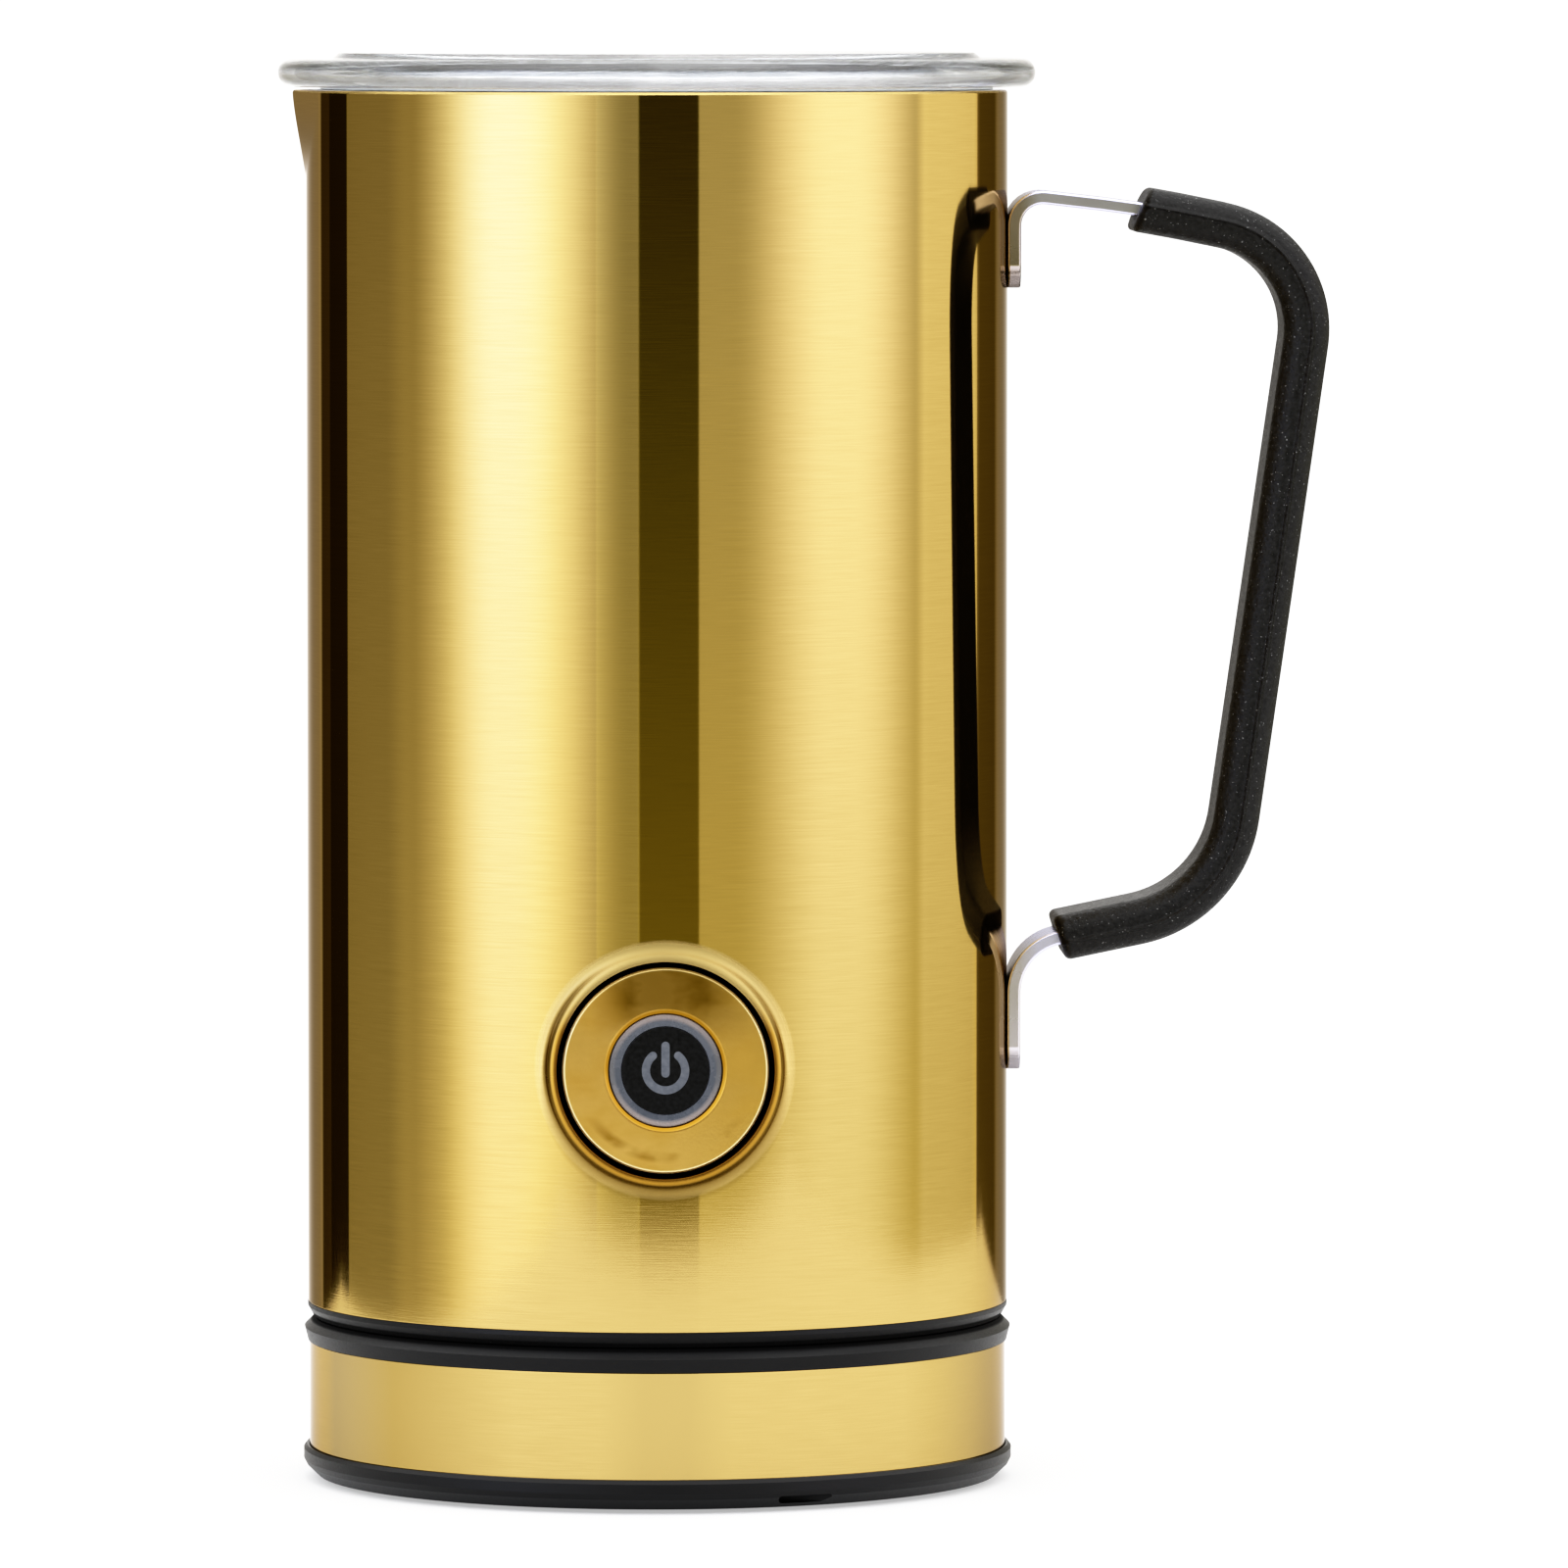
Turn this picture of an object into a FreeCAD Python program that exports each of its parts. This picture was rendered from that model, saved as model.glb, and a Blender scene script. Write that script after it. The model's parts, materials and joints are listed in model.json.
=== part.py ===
import FreeCAD, Part
import math
import os
import Sketcher

# A milk frother: a steel jug with a clear lid, a spout, a strap handle and a push button, on a
# separate power base. Millimetres, +Z up. The origin is on the jug's axis, on the plane that the
# rubber feet stand on. The handle points along +X, the spout along -X and the button along -Y.

DIMENSIONS = {
    # power base, from the feet up
    "foot_radius": 5.0,
    "foot_thickness": 1.8,
    "cover_low": 0.6,
    "plate_thickness": 2.4,
    "base_lip_radius": 48.1,
    "base_lip_top": 4.6,
    "band_radius": 47.3,
    "band_low": 4.1,
    "band_top": 18.9,
    "deck_lip_radius": 47.95,
    "deck_lip_height": 20.7,
    "deck_height": 22.0,
    "deck_edge_radius": 46.6,
    "fastener_circle": 37.0,
    "gland_height": 11.5,
    "cord_radius": 3.2,
    # the plug-in connector between base and jug
    "boss_radius": 14.0,
    "boss_top": 29.0,
    "inner_ring_radius": 5.2,
    "outer_ring_radius": 9.7,
    "contact_low": 25.0,
    "pin_radius": 1.5,
    # jug
    "jug_low": 22.2,
    "shell_low": 24.2,
    "shell_top": 188.4,
    "shell_radius": 47.5,
    "sheet_steel": 0.6,
    "spout_tip": 49.35,
    "spout_drop": 12.0,
    "spout_half_width": 12.7,
    "cup_radius": 42.5,
    "cup_wall": 0.5,
    "cup_floor": 82.5,
    "cup_corner": 6.0,
    "post_top": 100.0,
    # drive and heater
    "motor_radius": 12.0,
    "motor_low": 40.0,
    "motor_top": 68.0,
    "shaft_radius": 1.0,
    "drive_radius": 13.0,
    "magnet_radius": 3.0,
    "magnet_height": 3.0,
    "magnet_circle": 8.5,
    "heater_circle": 27.0,
    "heater_tube": 3.0,
    "leg_circle": 20.5,
    # push button, distances out from the jug's axis
    "button_height": 59.2,
    "collar_front": 48.8,
    "collar_radius": 15.5,
    "opening_radius": 14.4,
    "cap_front": 48.7,
    "cap_radius": 13.7,
    "window_radius": 7.5,
    "disc_radius": 5.85,
    "icon_outer": 3.15,
    "icon_inner": 2.05,
    "board_front": 34.6,
    # handle
    "strap_thickness": 1.8,
    "strap_width": 12.0,
    "strap_inside": 47.3,
    "sleeve_thickness": 6.2,
    "sleeve_width": 18.0,
    # lid
    "lid_radius": 51.25,
    "lid_low": 188.8,
    "lid_rim_thickness": 3.8,
    "lid_top": 193.4,
    "lid_plate_radius": 43.0,
    "lid_skirt_radius": 41.6,
    # whisk
    "whisk_low": 83.5,
    "whisk_ring_radius": 16.0,
    "whisk_ring_height": 95.0,
    "whisk_wire": 0.6,
    "whisk_coil": 1.8,
}

document = FreeCAD.newDocument("milk_frother")
sheet = document.addObject("Spreadsheet::Sheet", "dims")
for row, (alias, number) in enumerate(DIMENSIONS.items(), start=1):
    sheet.set("A%d" % row, alias)
    sheet.set("B%d" % row, str(number))
    sheet.setAlias("B%d" % row, alias)
document.recompute()


# ---------------------------------------------------------------- sizes and sketches


class Size:
    """A length that keeps its spreadsheet formula beside its present value."""

    def __init__(self, value, formula):
        self.value = value
        self.formula = formula

    def __add__(self, other):
        return joined(self, "+", other)

    def __sub__(self, other):
        return joined(self, "-", other)

    def __mul__(self, other):
        return joined(self, "*", other)

    def __rsub__(self, other):
        return joined(other, "-", self)

    def __neg__(self):
        return joined(0.0, "-", self)


def size_of(number):
    return number if isinstance(number, Size) else Size(float(number), "%.6g" % number)


def joined(left, sign, right):
    left = size_of(left)
    right = size_of(right)
    results = {
        "+": left.value + right.value,
        "-": left.value - right.value,
        "*": left.value * right.value,
    }
    return Size(results[sign], "(%s %s %s)" % (left.formula, sign, right.formula))


def dim(alias):
    return Size(float(sheet.get(alias)), "dims." + alias)


def bind(item, name, size):
    """Drives one property of a document object from the sheet."""
    item.setExpression(name, size_of(size).formula)


def new_body(label):
    body = document.addObject("PartDesign::Body", label)
    body.Label = label
    return body


def new_sketch(body, plane, offset=None):
    """A sketch on one of the body's origin planes, or at a distance from it."""
    sketch = body.newObject("Sketcher::SketchObject", "sketch")
    planes = [feature for feature in body.Origin.OriginFeatures if feature.Role == plane]
    sketch.AttachmentSupport = [(planes[0], "")]
    sketch.MapMode = "FlatFace"
    if offset is not None:
        bind(sketch, "AttachmentOffset.Base.z", offset)
    return sketch


def pin_point(sketch, geometry, point, x, y):
    """Fixes a point of the sketch at (x, y), each driven by its formula."""
    for kind, axis, size in (("DistanceX", -2, size_of(x)), ("DistanceY", -1, size_of(y))):
        if size.value == 0:
            sketch.addConstraint(Sketcher.Constraint("PointOnObject", geometry, point, axis))
            continue
        rule = Sketcher.Constraint(kind, -1, 1, geometry, point, size.value)
        index = sketch.addConstraint(rule)
        if "dims." in size.formula:
            bind(sketch, "Constraints[%d]" % index, size)


def fix_radius(sketch, geometry, size):
    size = size_of(size)
    index = sketch.addConstraint(Sketcher.Constraint("Radius", geometry, size.value))
    if "dims." in size.formula:
        bind(sketch, "Constraints[%d]" % index, size)


def rounding(before, corner, after, radius):
    """The two tangent points and the middle of the arc that rounds a corner."""
    back = (before - corner).normalize()
    ahead = (after - corner).normalize()
    half = back.getAngle(ahead) / 2
    reach = radius / math.tan(half)
    middle = (back + ahead).normalize() * (radius / math.sin(half) - radius)
    return corner + back * reach, corner + middle, corner + ahead * reach


def end_nearest(sketch, arc, place):
    gaps = [(sketch.getPoint(arc, end) - place).Length for end in (1, 2)]
    return 1 if gaps[0] < gaps[1] else 2


def add_outline(sketch, corners, closed=True):
    """Straight edges through the corners; a corner (x, y, radius) is rounded."""
    count = len(corners)
    spots = [FreeCAD.Vector(size_of(c[0]).value, size_of(c[1]).value, 0) for c in corners]
    arcs = {}
    for i, corner in enumerate(corners):
        if len(corner) == 3:
            before = spots[i - 1]
            after = spots[(i + 1) % count]
            arcs[i] = rounding(before, spots[i], after, size_of(corner[2]).value)
    lines = []
    for i in range(count if closed else count - 1):
        j = (i + 1) % count
        start = arcs[i][2] if i in arcs else spots[i]
        finish = arcs[j][0] if j in arcs else spots[j]
        lines.append(sketch.addGeometry(Part.LineSegment(start, finish)))
    for i, corner in enumerate(corners):
        first = not closed and i == 0
        last = not closed and i == count - 1
        before = None if first else lines[i - 1]
        after = None if last else lines[i % len(lines)]
        if i in arcs:
            arc = sketch.addGeometry(Part.Arc(*arcs[i]))
            spot = sketch.addGeometry(Part.Point(spots[i]), True)
            pin_point(sketch, spot, 1, corner[0], corner[1])
            for line, end, place in ((before, 2, arcs[i][0]), (after, 1, arcs[i][2])):
                arc_end = end_nearest(sketch, arc, place)
                sketch.addConstraint(Sketcher.Constraint("Tangent", line, end, arc, arc_end))
                sketch.addConstraint(Sketcher.Constraint("PointOnObject", spot, 1, line))
            fix_radius(sketch, arc, corner[2])
        elif last:
            pin_point(sketch, before, 2, corner[0], corner[1])
        else:
            if before is not None:
                sketch.addConstraint(Sketcher.Constraint("Coincident", before, 2, after, 1))
            pin_point(sketch, after, 1, corner[0], corner[1])


def add_circle(sketch, x, y, radius):
    centre = FreeCAD.Vector(size_of(x).value, size_of(y).value, 0)
    up = FreeCAD.Vector(0, 0, 1)
    circle = sketch.addGeometry(Part.Circle(centre, up, size_of(radius).value))
    pin_point(sketch, circle, 3, x, y)
    fix_radius(sketch, circle, radius)


def round_about(count, circle, first_degrees):
    """Evenly spaced places on a circle about the Z axis."""
    angles = [math.radians(first_degrees + 360.0 * i / count) for i in range(count)]
    return [(circle * round(math.cos(a), 6), circle * round(math.sin(a), 6)) for a in angles]


# ---------------------------------------------------------------- features


def turn(body, corners, degrees=360.0):
    """Adds an outline in the XZ plane, turned about the body's Z axis."""
    sketch = new_sketch(body, "XZ_Plane")
    add_outline(sketch, corners)
    spin = body.newObject("PartDesign::Revolution", "turned")
    spin.Profile = sketch
    spin.ReferenceAxis = (sketch, ["V_Axis"])
    spin.Angle = degrees
    spin.Midplane = degrees < 360.0
    document.recompute()
    return spin


def turned(label, corners, degrees=360.0):
    body = new_body(label)
    turn(body, corners, degrees)
    return body


def pad(body, sketch, length, both_ways=False):
    feature = body.newObject("PartDesign::Pad", "pad")
    feature.Profile = sketch
    feature.SideType = "Symmetric" if both_ways else "One side"
    bind(feature, "Length", length)
    document.recompute()
    return feature


def pocket(body, sketch, length=None, other_way=False):
    """Cuts a sketch out of the body, and stops if nothing was cut."""
    volume = body.Shape.Volume
    feature = body.newObject("PartDesign::Pocket", "pocket")
    feature.Profile = sketch
    feature.Reversed = other_way
    if length is None:
        feature.Type = "ThroughAll"
    else:
        bind(feature, "Length", length)
    document.recompute()
    if body.Shape.Volume > volume - 1e-6:
        raise RuntimeError("a pocket in %s cuts nothing" % body.Label)
    return feature


def bore(body, places, radius, start, length, other_way=False):
    """Round holes along Z, starting at the height start; other_way cuts upward."""
    sketch = new_sketch(body, "XY_Plane", start)
    for x, y in places:
        add_circle(sketch, x, y, radius)
    return pocket(body, sketch, length, other_way)


def columns(body, places, radius, start, length):
    """Round columns that rise from the height start."""
    sketch = new_sketch(body, "XY_Plane", start)
    for x, y in places:
        add_circle(sketch, x, y, radius)
    return pad(body, sketch, length)


def loft(body, kind, sections):
    """A ruled loft through closed outlines, each given as (height, corners)."""
    sketches = []
    for height, corners in sections:
        sketch = new_sketch(body, "XY_Plane", height)
        add_outline(sketch, corners)
        sketches.append(sketch)
    feature = body.newObject("PartDesign::" + kind, "loft")
    feature.Profile = sketches[0]
    feature.Sections = sketches[1:]
    feature.Ruled = True
    document.recompute()
    return feature


def edges_where(shape, wanted):
    return ["Edge%d" % (i + 1) for i, edge in enumerate(shape.Edges) if wanted(edge)]


def round_edges(body, wanted, radius, kind="Fillet"):
    """Rounds or chamfers the edges of the body that pass the test."""
    solid = body.Tip
    names = edges_where(solid.Shape, wanted)
    if not names:
        raise RuntimeError("no edge to round in " + body.Label)
    feature = body.newObject("PartDesign::" + kind, "edges")
    feature.Base = (solid, names)
    bind(feature, "Radius" if kind == "Fillet" else "Size", radius)
    document.recompute()
    return feature


def is_circle(edge, radius, height):
    """A full circle about Z, of this radius, at this height."""
    if not isinstance(edge.Curve, Part.Circle) or not edge.isClosed():
        return False
    close = abs(edge.Curve.Radius - size_of(radius).value) < 1e-4
    return close and abs(edge.Curve.Center.z - size_of(height).value) < 1e-4


def set_place(item, x=0.0, y=0.0, z=0.0, axis=(0, 0, 1), degrees=0.0):
    """Turns an object about its own origin and then drives its position."""
    turn_by = FreeCAD.Rotation(FreeCAD.Vector(*axis), degrees)
    item.Placement = FreeCAD.Placement(FreeCAD.Vector(0, 0, 0), turn_by)
    for letter, size in (("x", x), ("y", y), ("z", z)):
        if size_of(size).value != 0:
            bind(item, "Placement.Base." + letter, size)


def face_front(item):
    """Lays an item turned about Z on the button's axis: its Z becomes -Y."""
    set_place(item, z=dim("button_height"), axis=(1, 0, 0), degrees=90)


def group(label, makers):
    """One node that holds several separate equal solids."""
    items = []
    for i, (make, x, y) in enumerate(makers):
        item = make("%s_%d" % (label, i + 1))
        set_place(item, x, y)
        items.append(item)
    compound = document.addObject("Part::Compound", label)
    compound.Label = label
    compound.Links = items
    return compound


def turned_group(label, corners, places):
    return group(label, [(lambda name: turned(name, corners), x, y) for x, y in places])


def block(label, x, y, z, length, width, height):
    """A Part box from its low corner and its size along X, Y and Z."""
    box = document.addObject("Part::Box", label)
    box.Label = label
    for name, size in (("Length", length), ("Width", width), ("Height", height)):
        bind(box, name, size)
    set_place(box, x, y, z)
    return box


def boolean(kind, label, base, tool):
    result = document.addObject("Part::" + kind, label)
    result.Label = label
    result.Base = base
    result.Tool = tool
    return result


# ---------------------------------------------------------------- sizes used by several pieces

cover_low = dim("cover_low")
cover_top = cover_low + dim("plate_thickness")
lip_radius = dim("base_lip_radius")
lip_top = dim("base_lip_top")
band_radius = dim("band_radius")
band_inside = band_radius - dim("sheet_steel")
wall_outside = dim("deck_edge_radius")
wall_inside = wall_outside - 1.2
deck = dim("deck_height")
deck_underside = deck - 2.0
fastener_circle = dim("fastener_circle")
boss_radius = dim("boss_radius")
boss_top = dim("boss_top")
pin_radius = dim("pin_radius")
RING_HALF = 0.3
SLOT_HALF = 0.9
slot_floor = dim("contact_low") - 3.0
shell_radius = dim("shell_radius")
shell_inside = shell_radius - dim("sheet_steel")
shell_low = dim("shell_low")
shell_top = dim("shell_top")
jug_low = dim("jug_low")
jug_floor = jug_low + dim("plate_thickness")
connector_low = jug_low + 8.8
cup_radius = dim("cup_radius")
cup_outside = cup_radius + dim("cup_wall")
cup_floor = dim("cup_floor")
cup_underside = cup_floor - dim("cup_wall")
motor_top = dim("motor_top")
motor_low = dim("motor_low")
shaft_radius = dim("shaft_radius")
drive_low = cup_underside - 7.0
drive_top = cup_underside - 1.2
magnet_radius = dim("magnet_radius")
magnet_height = dim("magnet_height")
magnet_places = round_about(2, dim("magnet_circle"), 0)
leg_places = round_about(3, dim("leg_circle"), 90)
board_front = dim("board_front")
button_height = dim("button_height")


# ---------------------------------------------------------------- power base


def make_base_bottom_cover():
    """The black ring and plate that the base stands on."""
    body = turned("base_bottom_cover", [
        (0, cover_low),
        (lip_radius - 1.9, cover_low),
        (lip_radius - 0.4, cover_low + 1.4),
        (lip_radius, cover_low + 2.2),
        (lip_radius, lip_top - 0.5),
        (lip_radius - 0.4, lip_top),
        (band_radius + 0.1, lip_top),
        (band_radius + 0.1, dim("band_low")),
        (wall_outside, dim("band_low")),
        (wall_outside, dim("band_low") + 2.9),
        (wall_inside, dim("band_low") + 2.9),
        (wall_inside, cover_top),
        (0, cover_top),
    ])
    feet = round_about(4, fastener_circle, 45)
    screws = round_about(4, fastener_circle, 0)
    bore(body, feet, dim("foot_radius") + 0.05, cover_low, dim("foot_thickness") - cover_low, True)
    bore(body, screws, 2.9, cover_low, 1.6, True)
    bore(body, screws, 1.6, cover_low, dim("plate_thickness"), True)
    drain = new_sketch(body, "XZ_Plane", 41.9)
    low = cover_low + 0.55
    high = cover_low + 1.6
    add_outline(drain, [(15.1, low, 0.5), (22.3, low, 0.5), (22.3, high, 0.5), (15.1, high, 0.5)])
    pocket(body, drain, 4.0, True)


def make_base_band():
    """The gold steel band between the two black rings."""
    body = turned("base_band", [
        (band_inside, dim("band_low")),
        (band_radius, dim("band_low")),
        (band_radius, dim("band_top")),
        (band_inside, dim("band_top")),
    ])
    hole = new_sketch(body, "XZ_Plane")
    add_circle(hole, 0, dim("gland_height"), dim("cord_radius") + 0.85)
    pocket(body, hole, band_radius + 1.0)


def make_base_top_cover():
    """The black deck that the jug stands on, with its outer ring and four screw bosses."""
    body = turned("base_top_cover", [
        (boss_radius + 0.1, deck_underside),
        (wall_inside, deck_underside),
        (wall_inside, dim("band_low") + 3.1),
        (wall_outside, dim("band_low") + 3.1),
        (wall_outside, dim("band_top")),
        (band_radius + 0.2, dim("band_top")),
        (dim("deck_lip_radius"), dim("deck_lip_height")),
        (wall_outside, deck),
        (boss_radius + 0.1, deck),
    ])
    bosses = round_about(4, fastener_circle, 0)
    columns(body, bosses, 3.5, cover_top, deck_underside - cover_top + 0.5)
    bore(body, bosses, 1.25, cover_top, 11.0, True)
    hole = new_sketch(body, "XZ_Plane", -wall_outside - 1.0)
    add_circle(hole, 0, dim("gland_height"), dim("cord_radius") + 0.85)
    pocket(body, hole, 4.0, True)


def make_base_connector():
    """The round socket in the middle of the base, with one slot for each jug contact."""
    inner = dim("inner_ring_radius")
    outer = dim("outer_ring_radius")
    low = deck_underside - 2.0
    turned("base_connector", [
        (0, low),
        (boss_radius + 3.0, low),
        (boss_radius + 3.0, deck_underside),
        (boss_radius, deck_underside),
        (boss_radius, boss_top, 0.8),
        (outer + SLOT_HALF, boss_top),
        (outer + SLOT_HALF, slot_floor),
        (outer - SLOT_HALF, slot_floor),
        (outer - SLOT_HALF, boss_top),
        (inner + SLOT_HALF, boss_top),
        (inner + SLOT_HALF, slot_floor),
        (inner - SLOT_HALF, slot_floor),
        (inner - SLOT_HALF, boss_top),
        (pin_radius + 0.8, boss_top),
        (pin_radius + 0.8, slot_floor),
        (0, slot_floor),
    ])


def make_base_contacts():
    """One short contact strip in each slot of the socket, just clear of the jug's contact."""
    for label, inside, degrees in (
        ("earth_contact", pin_radius + 0.2, 60),
        ("live_contact", dim("inner_ring_radius") + 0.4, 30),
        ("neutral_contact", dim("outer_ring_radius") + 0.4, 20),
    ):
        turned(label, [
            (inside, slot_floor),
            (inside + 0.4, slot_floor),
            (inside + 0.4, boss_top - 1.0),
            (inside, boss_top - 1.0),
        ], degrees)


def make_cord_gland():
    """The bushing at the back of the base that the mains cord comes out of."""
    cord = dim("cord_radius")
    body = turned("cord_gland", [
        (cord, wall_inside - 1.6),
        (cord + 2.2, wall_inside - 1.6),
        (cord + 2.2, wall_inside - 0.4),
        (cord + 0.8, wall_inside - 0.4),
        (cord + 0.8, band_radius + 0.05),
        (cord + 2.2, band_radius + 0.05),
        (cord + 2.2, band_radius + 0.8, 0.4),
        (cord, band_radius + 0.8),
    ])
    set_place(body, z=dim("gland_height"), axis=(1, 0, 0), degrees=-90)


def make_base_feet():
    radius = dim("foot_radius")
    thickness = dim("foot_thickness")
    turned_group("base_feet", [
        (0, 0),
        (radius, 0, 0.4),
        (radius, thickness),
        (0, thickness),
    ], round_about(4, fastener_circle, 45))


def make_base_screws():
    turned_group("base_screws", [
        (0, cover_low + 0.3),
        (2.7, cover_low + 0.3, 0.5),
        (2.7, cover_low + 1.6),
        (1.25, cover_low + 1.6),
        (1.25, cover_low + 12.0),
        (0, cover_low + 12.0),
    ], round_about(4, fastener_circle, 0))


# ---------------------------------------------------------------- jug body


def wedge_sections(tip, wing_x, wing_y, root, drop):
    """A spout wedge: a triangle at the rim that closes to a point further down the wall."""
    top = [(-tip, 0), (-wing_x, -wing_y), (-wing_x, wing_y)]
    low = [(-root, 0), (-(root - 0.3), size_of(-0.3)), (-(root - 0.3), size_of(0.3))]
    return [(shell_top, top), (shell_top - drop, low)]


def make_jug_shell():
    """The outer shell: a straight tube with a pressed spout and a collar for the button."""
    body = new_body("jug_shell")
    columns(body, [(0, 0)], shell_radius, shell_low, shell_top - shell_low)
    tip = dim("spout_tip")
    wing = dim("spout_half_width")
    wing_x = shell_radius - 1.75
    loft(body, "AdditiveLoft", wedge_sections(tip, wing_x, wing, shell_radius, dim("spout_drop")))
    collar = new_sketch(body, "XZ_Plane", 40.0)
    add_circle(collar, 0, button_height, dim("collar_radius"))
    pad(body, collar, dim("collar_front") - 40.0)
    hollow = new_sketch(body, "XY_Plane", shell_low)
    add_circle(hollow, 0, 0, shell_inside)
    pocket(body, hollow, None, True)
    steel = dim("sheet_steel")
    inner = wedge_sections(tip - steel, wing_x - steel, wing, shell_radius - steel, dim("spout_drop"))
    loft(body, "SubtractiveLoft", inner)
    opening = new_sketch(body, "XZ_Plane", 30.0)
    add_circle(opening, 0, button_height, dim("opening_radius"))
    pocket(body, opening, 30.0, True)
    front = dim("collar_front")
    round_edges(body, lambda edge: on_collar_front(edge, front), 0.35)


def on_collar_front(edge, front):
    """The two circles that bound the collar's flat front."""
    if not isinstance(edge.Curve, Part.Circle):
        return False
    return abs(edge.BoundBox.YMin + front.value) < 1e-4 and edge.BoundBox.YLength < 1e-4


def make_inner_cup():
    """The steel milk cup, rolled out to the shell at its rim and open into the spout."""
    rim_low = shell_top - dim("sheet_steel")
    corner = dim("cup_corner")
    body = turned("inner_cup", [
        (0, cup_underside),
        (cup_outside, cup_underside, corner + dim("cup_wall")),
        (cup_outside, rim_low),
        (shell_inside, rim_low),
        (shell_inside, shell_top),
        (cup_radius, shell_top),
        (cup_radius, cup_floor, corner),
        (0, cup_floor),
    ])
    tip = dim("spout_tip") - dim("sheet_steel") - 0.1
    channel = wedge_sections(tip, cup_outside * 0.883, cup_outside * 0.4695, cup_outside, 20.0)
    loft(body, "AdditiveLoft", channel)
    inner = wedge_sections(tip - 0.5, cup_radius * 0.883, cup_radius * 0.4695, cup_radius, 20.0)
    loft(body, "SubtractiveLoft", inner)
    bore(body, [(0, 0)], cup_radius, shell_top, shell_top - cup_floor - corner)


def make_whisk_post():
    """The pin in the middle of the cup's floor that the whisk turns on."""
    turned("whisk_post", [
        (0, cup_floor),
        (5.0, cup_floor),
        (4.6, cup_floor + 0.6),
        (pin_radius, cup_floor + 0.6),
        (pin_radius, dim("post_top"), 0.8),
        (0, dim("post_top")),
    ])


def make_heater():
    """The plate under the cup, its ring-shaped heating tube and the two heat sensors."""
    plate_low = cup_underside - 2.4
    turned("heat_plate", [
        (dim("drive_radius") + 3.0, plate_low),
        (36.0, plate_low),
        (36.0, cup_underside),
        (dim("drive_radius") + 3.0, cup_underside),
    ])
    circle = dim("heater_circle")
    tube = document.addObject("Part::Torus", "heating_ring")
    bind(tube, "Radius1", circle)
    bind(tube, "Radius2", dim("heater_tube"))
    tube.Angle3 = 300
    set_place(tube, z=plate_low - dim("heater_tube"), axis=(0, 0, 1), degrees=30)
    pins = []
    for degrees in (34, 326):
        pin = document.addObject("Part::Cylinder", "terminal")
        pin.Radius = 1.2
        pin.Height = 5.0
        angle = math.radians(degrees)
        reach_x = circle * round(math.cos(angle), 6)
        reach_y = circle * round(math.sin(angle), 6)
        set_place(pin, reach_x, reach_y, plate_low - dim("heater_tube") - 6.5)
        pins.append(pin)
    heater = document.addObject("Part::MultiFuse", "heating_tube")
    heater.Label = "heating_tube"
    heater.Shapes = [tube] + pins
    for label, radius, height, degrees in (
        ("temperature_sensor", 2.4, 4.0, 150),
        ("thermal_cutout", 2.9, 5.5, 210),
    ):
        place = round_about(1, size_of(33.0), degrees)[0]
        part = turned(label, [
            (0, plate_low - height),
            (radius, plate_low - height, 0.4),
            (radius, plate_low),
            (0, plate_low),
        ])
        set_place(part, *place)


def make_motor():
    """The motor can, with a bore for its shaft and two screw holes in its top."""
    radius = dim("motor_radius")
    body = turned("motor", [
        (0, motor_low - 1.4),
        (3.5, motor_low - 1.4),
        (3.5, motor_low),
        (radius, motor_low, 1.0),
        (radius, motor_top, 1.0),
        (3.5, motor_top),
        (3.5, motor_top + 1.5),
        (shaft_radius + 0.05, motor_top + 1.5),
        (shaft_radius + 0.05, motor_low + 4.0),
        (0, motor_low + 4.0),
    ])
    bore(body, round_about(2, size_of(8.0), 0), 1.2, motor_top, 4.0)


def make_motor_bracket():
    """The plate that the motor hangs from, on three legs that stand on the jug's floor."""
    body = turned("motor_bracket", [
        (3.6, motor_top),
        (dim("leg_circle") + 4.0, motor_top),
        (dim("leg_circle") + 4.0, motor_top + 2.0),
        (3.6, motor_top + 2.0),
    ])
    columns(body, leg_places, 3.0, jug_floor, motor_top + 1.0 - jug_floor)
    bore(body, leg_places, 1.25, jug_floor, 11.0, True)
    bore(body, round_about(2, size_of(8.0), 0), 1.4, motor_top + 2.0, 2.0)


def make_motor_screws():
    turned_group("motor_screws", [
        (0, motor_top - 3.5),
        (1.2, motor_top - 3.5),
        (1.2, motor_top + 2.0),
        (2.3, motor_top + 2.0),
        (2.3, motor_top + 3.4, 0.6),
        (0, motor_top + 3.4),
    ], round_about(2, size_of(8.0), 0))


def make_jug_bottom_cover():
    """The black ring and floor under the jug, with the well that drops over the base's socket."""
    well = boss_radius + 1.0
    body = turned("jug_bottom_cover", [
        (well, jug_low),
        (shell_radius - 0.8, jug_low),
        (shell_radius, shell_low - 0.6),
        (shell_radius, shell_low),
        (shell_inside - 0.05, shell_low),
        (shell_inside - 0.05, shell_low + 5.8),
        (shell_inside - 1.25, shell_low + 5.8),
        (shell_inside - 1.25, jug_floor),
        (well + 1.6, jug_floor),
        (well + 1.6, connector_low),
        (well, connector_low),
    ])
    bore(body, leg_places, 2.9, jug_low, 1.4, True)
    bore(body, leg_places, 1.6, jug_low, dim("plate_thickness"), True)


def make_jug_screws():
    turned_group("jug_screws", [
        (0, jug_low + 0.2),
        (2.6, jug_low + 0.2, 0.5),
        (2.6, jug_low + 1.4),
        (1.25, jug_low + 1.4),
        (1.25, jug_low + 12.0),
        (0, jug_low + 12.0),
    ], leg_places)


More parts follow.
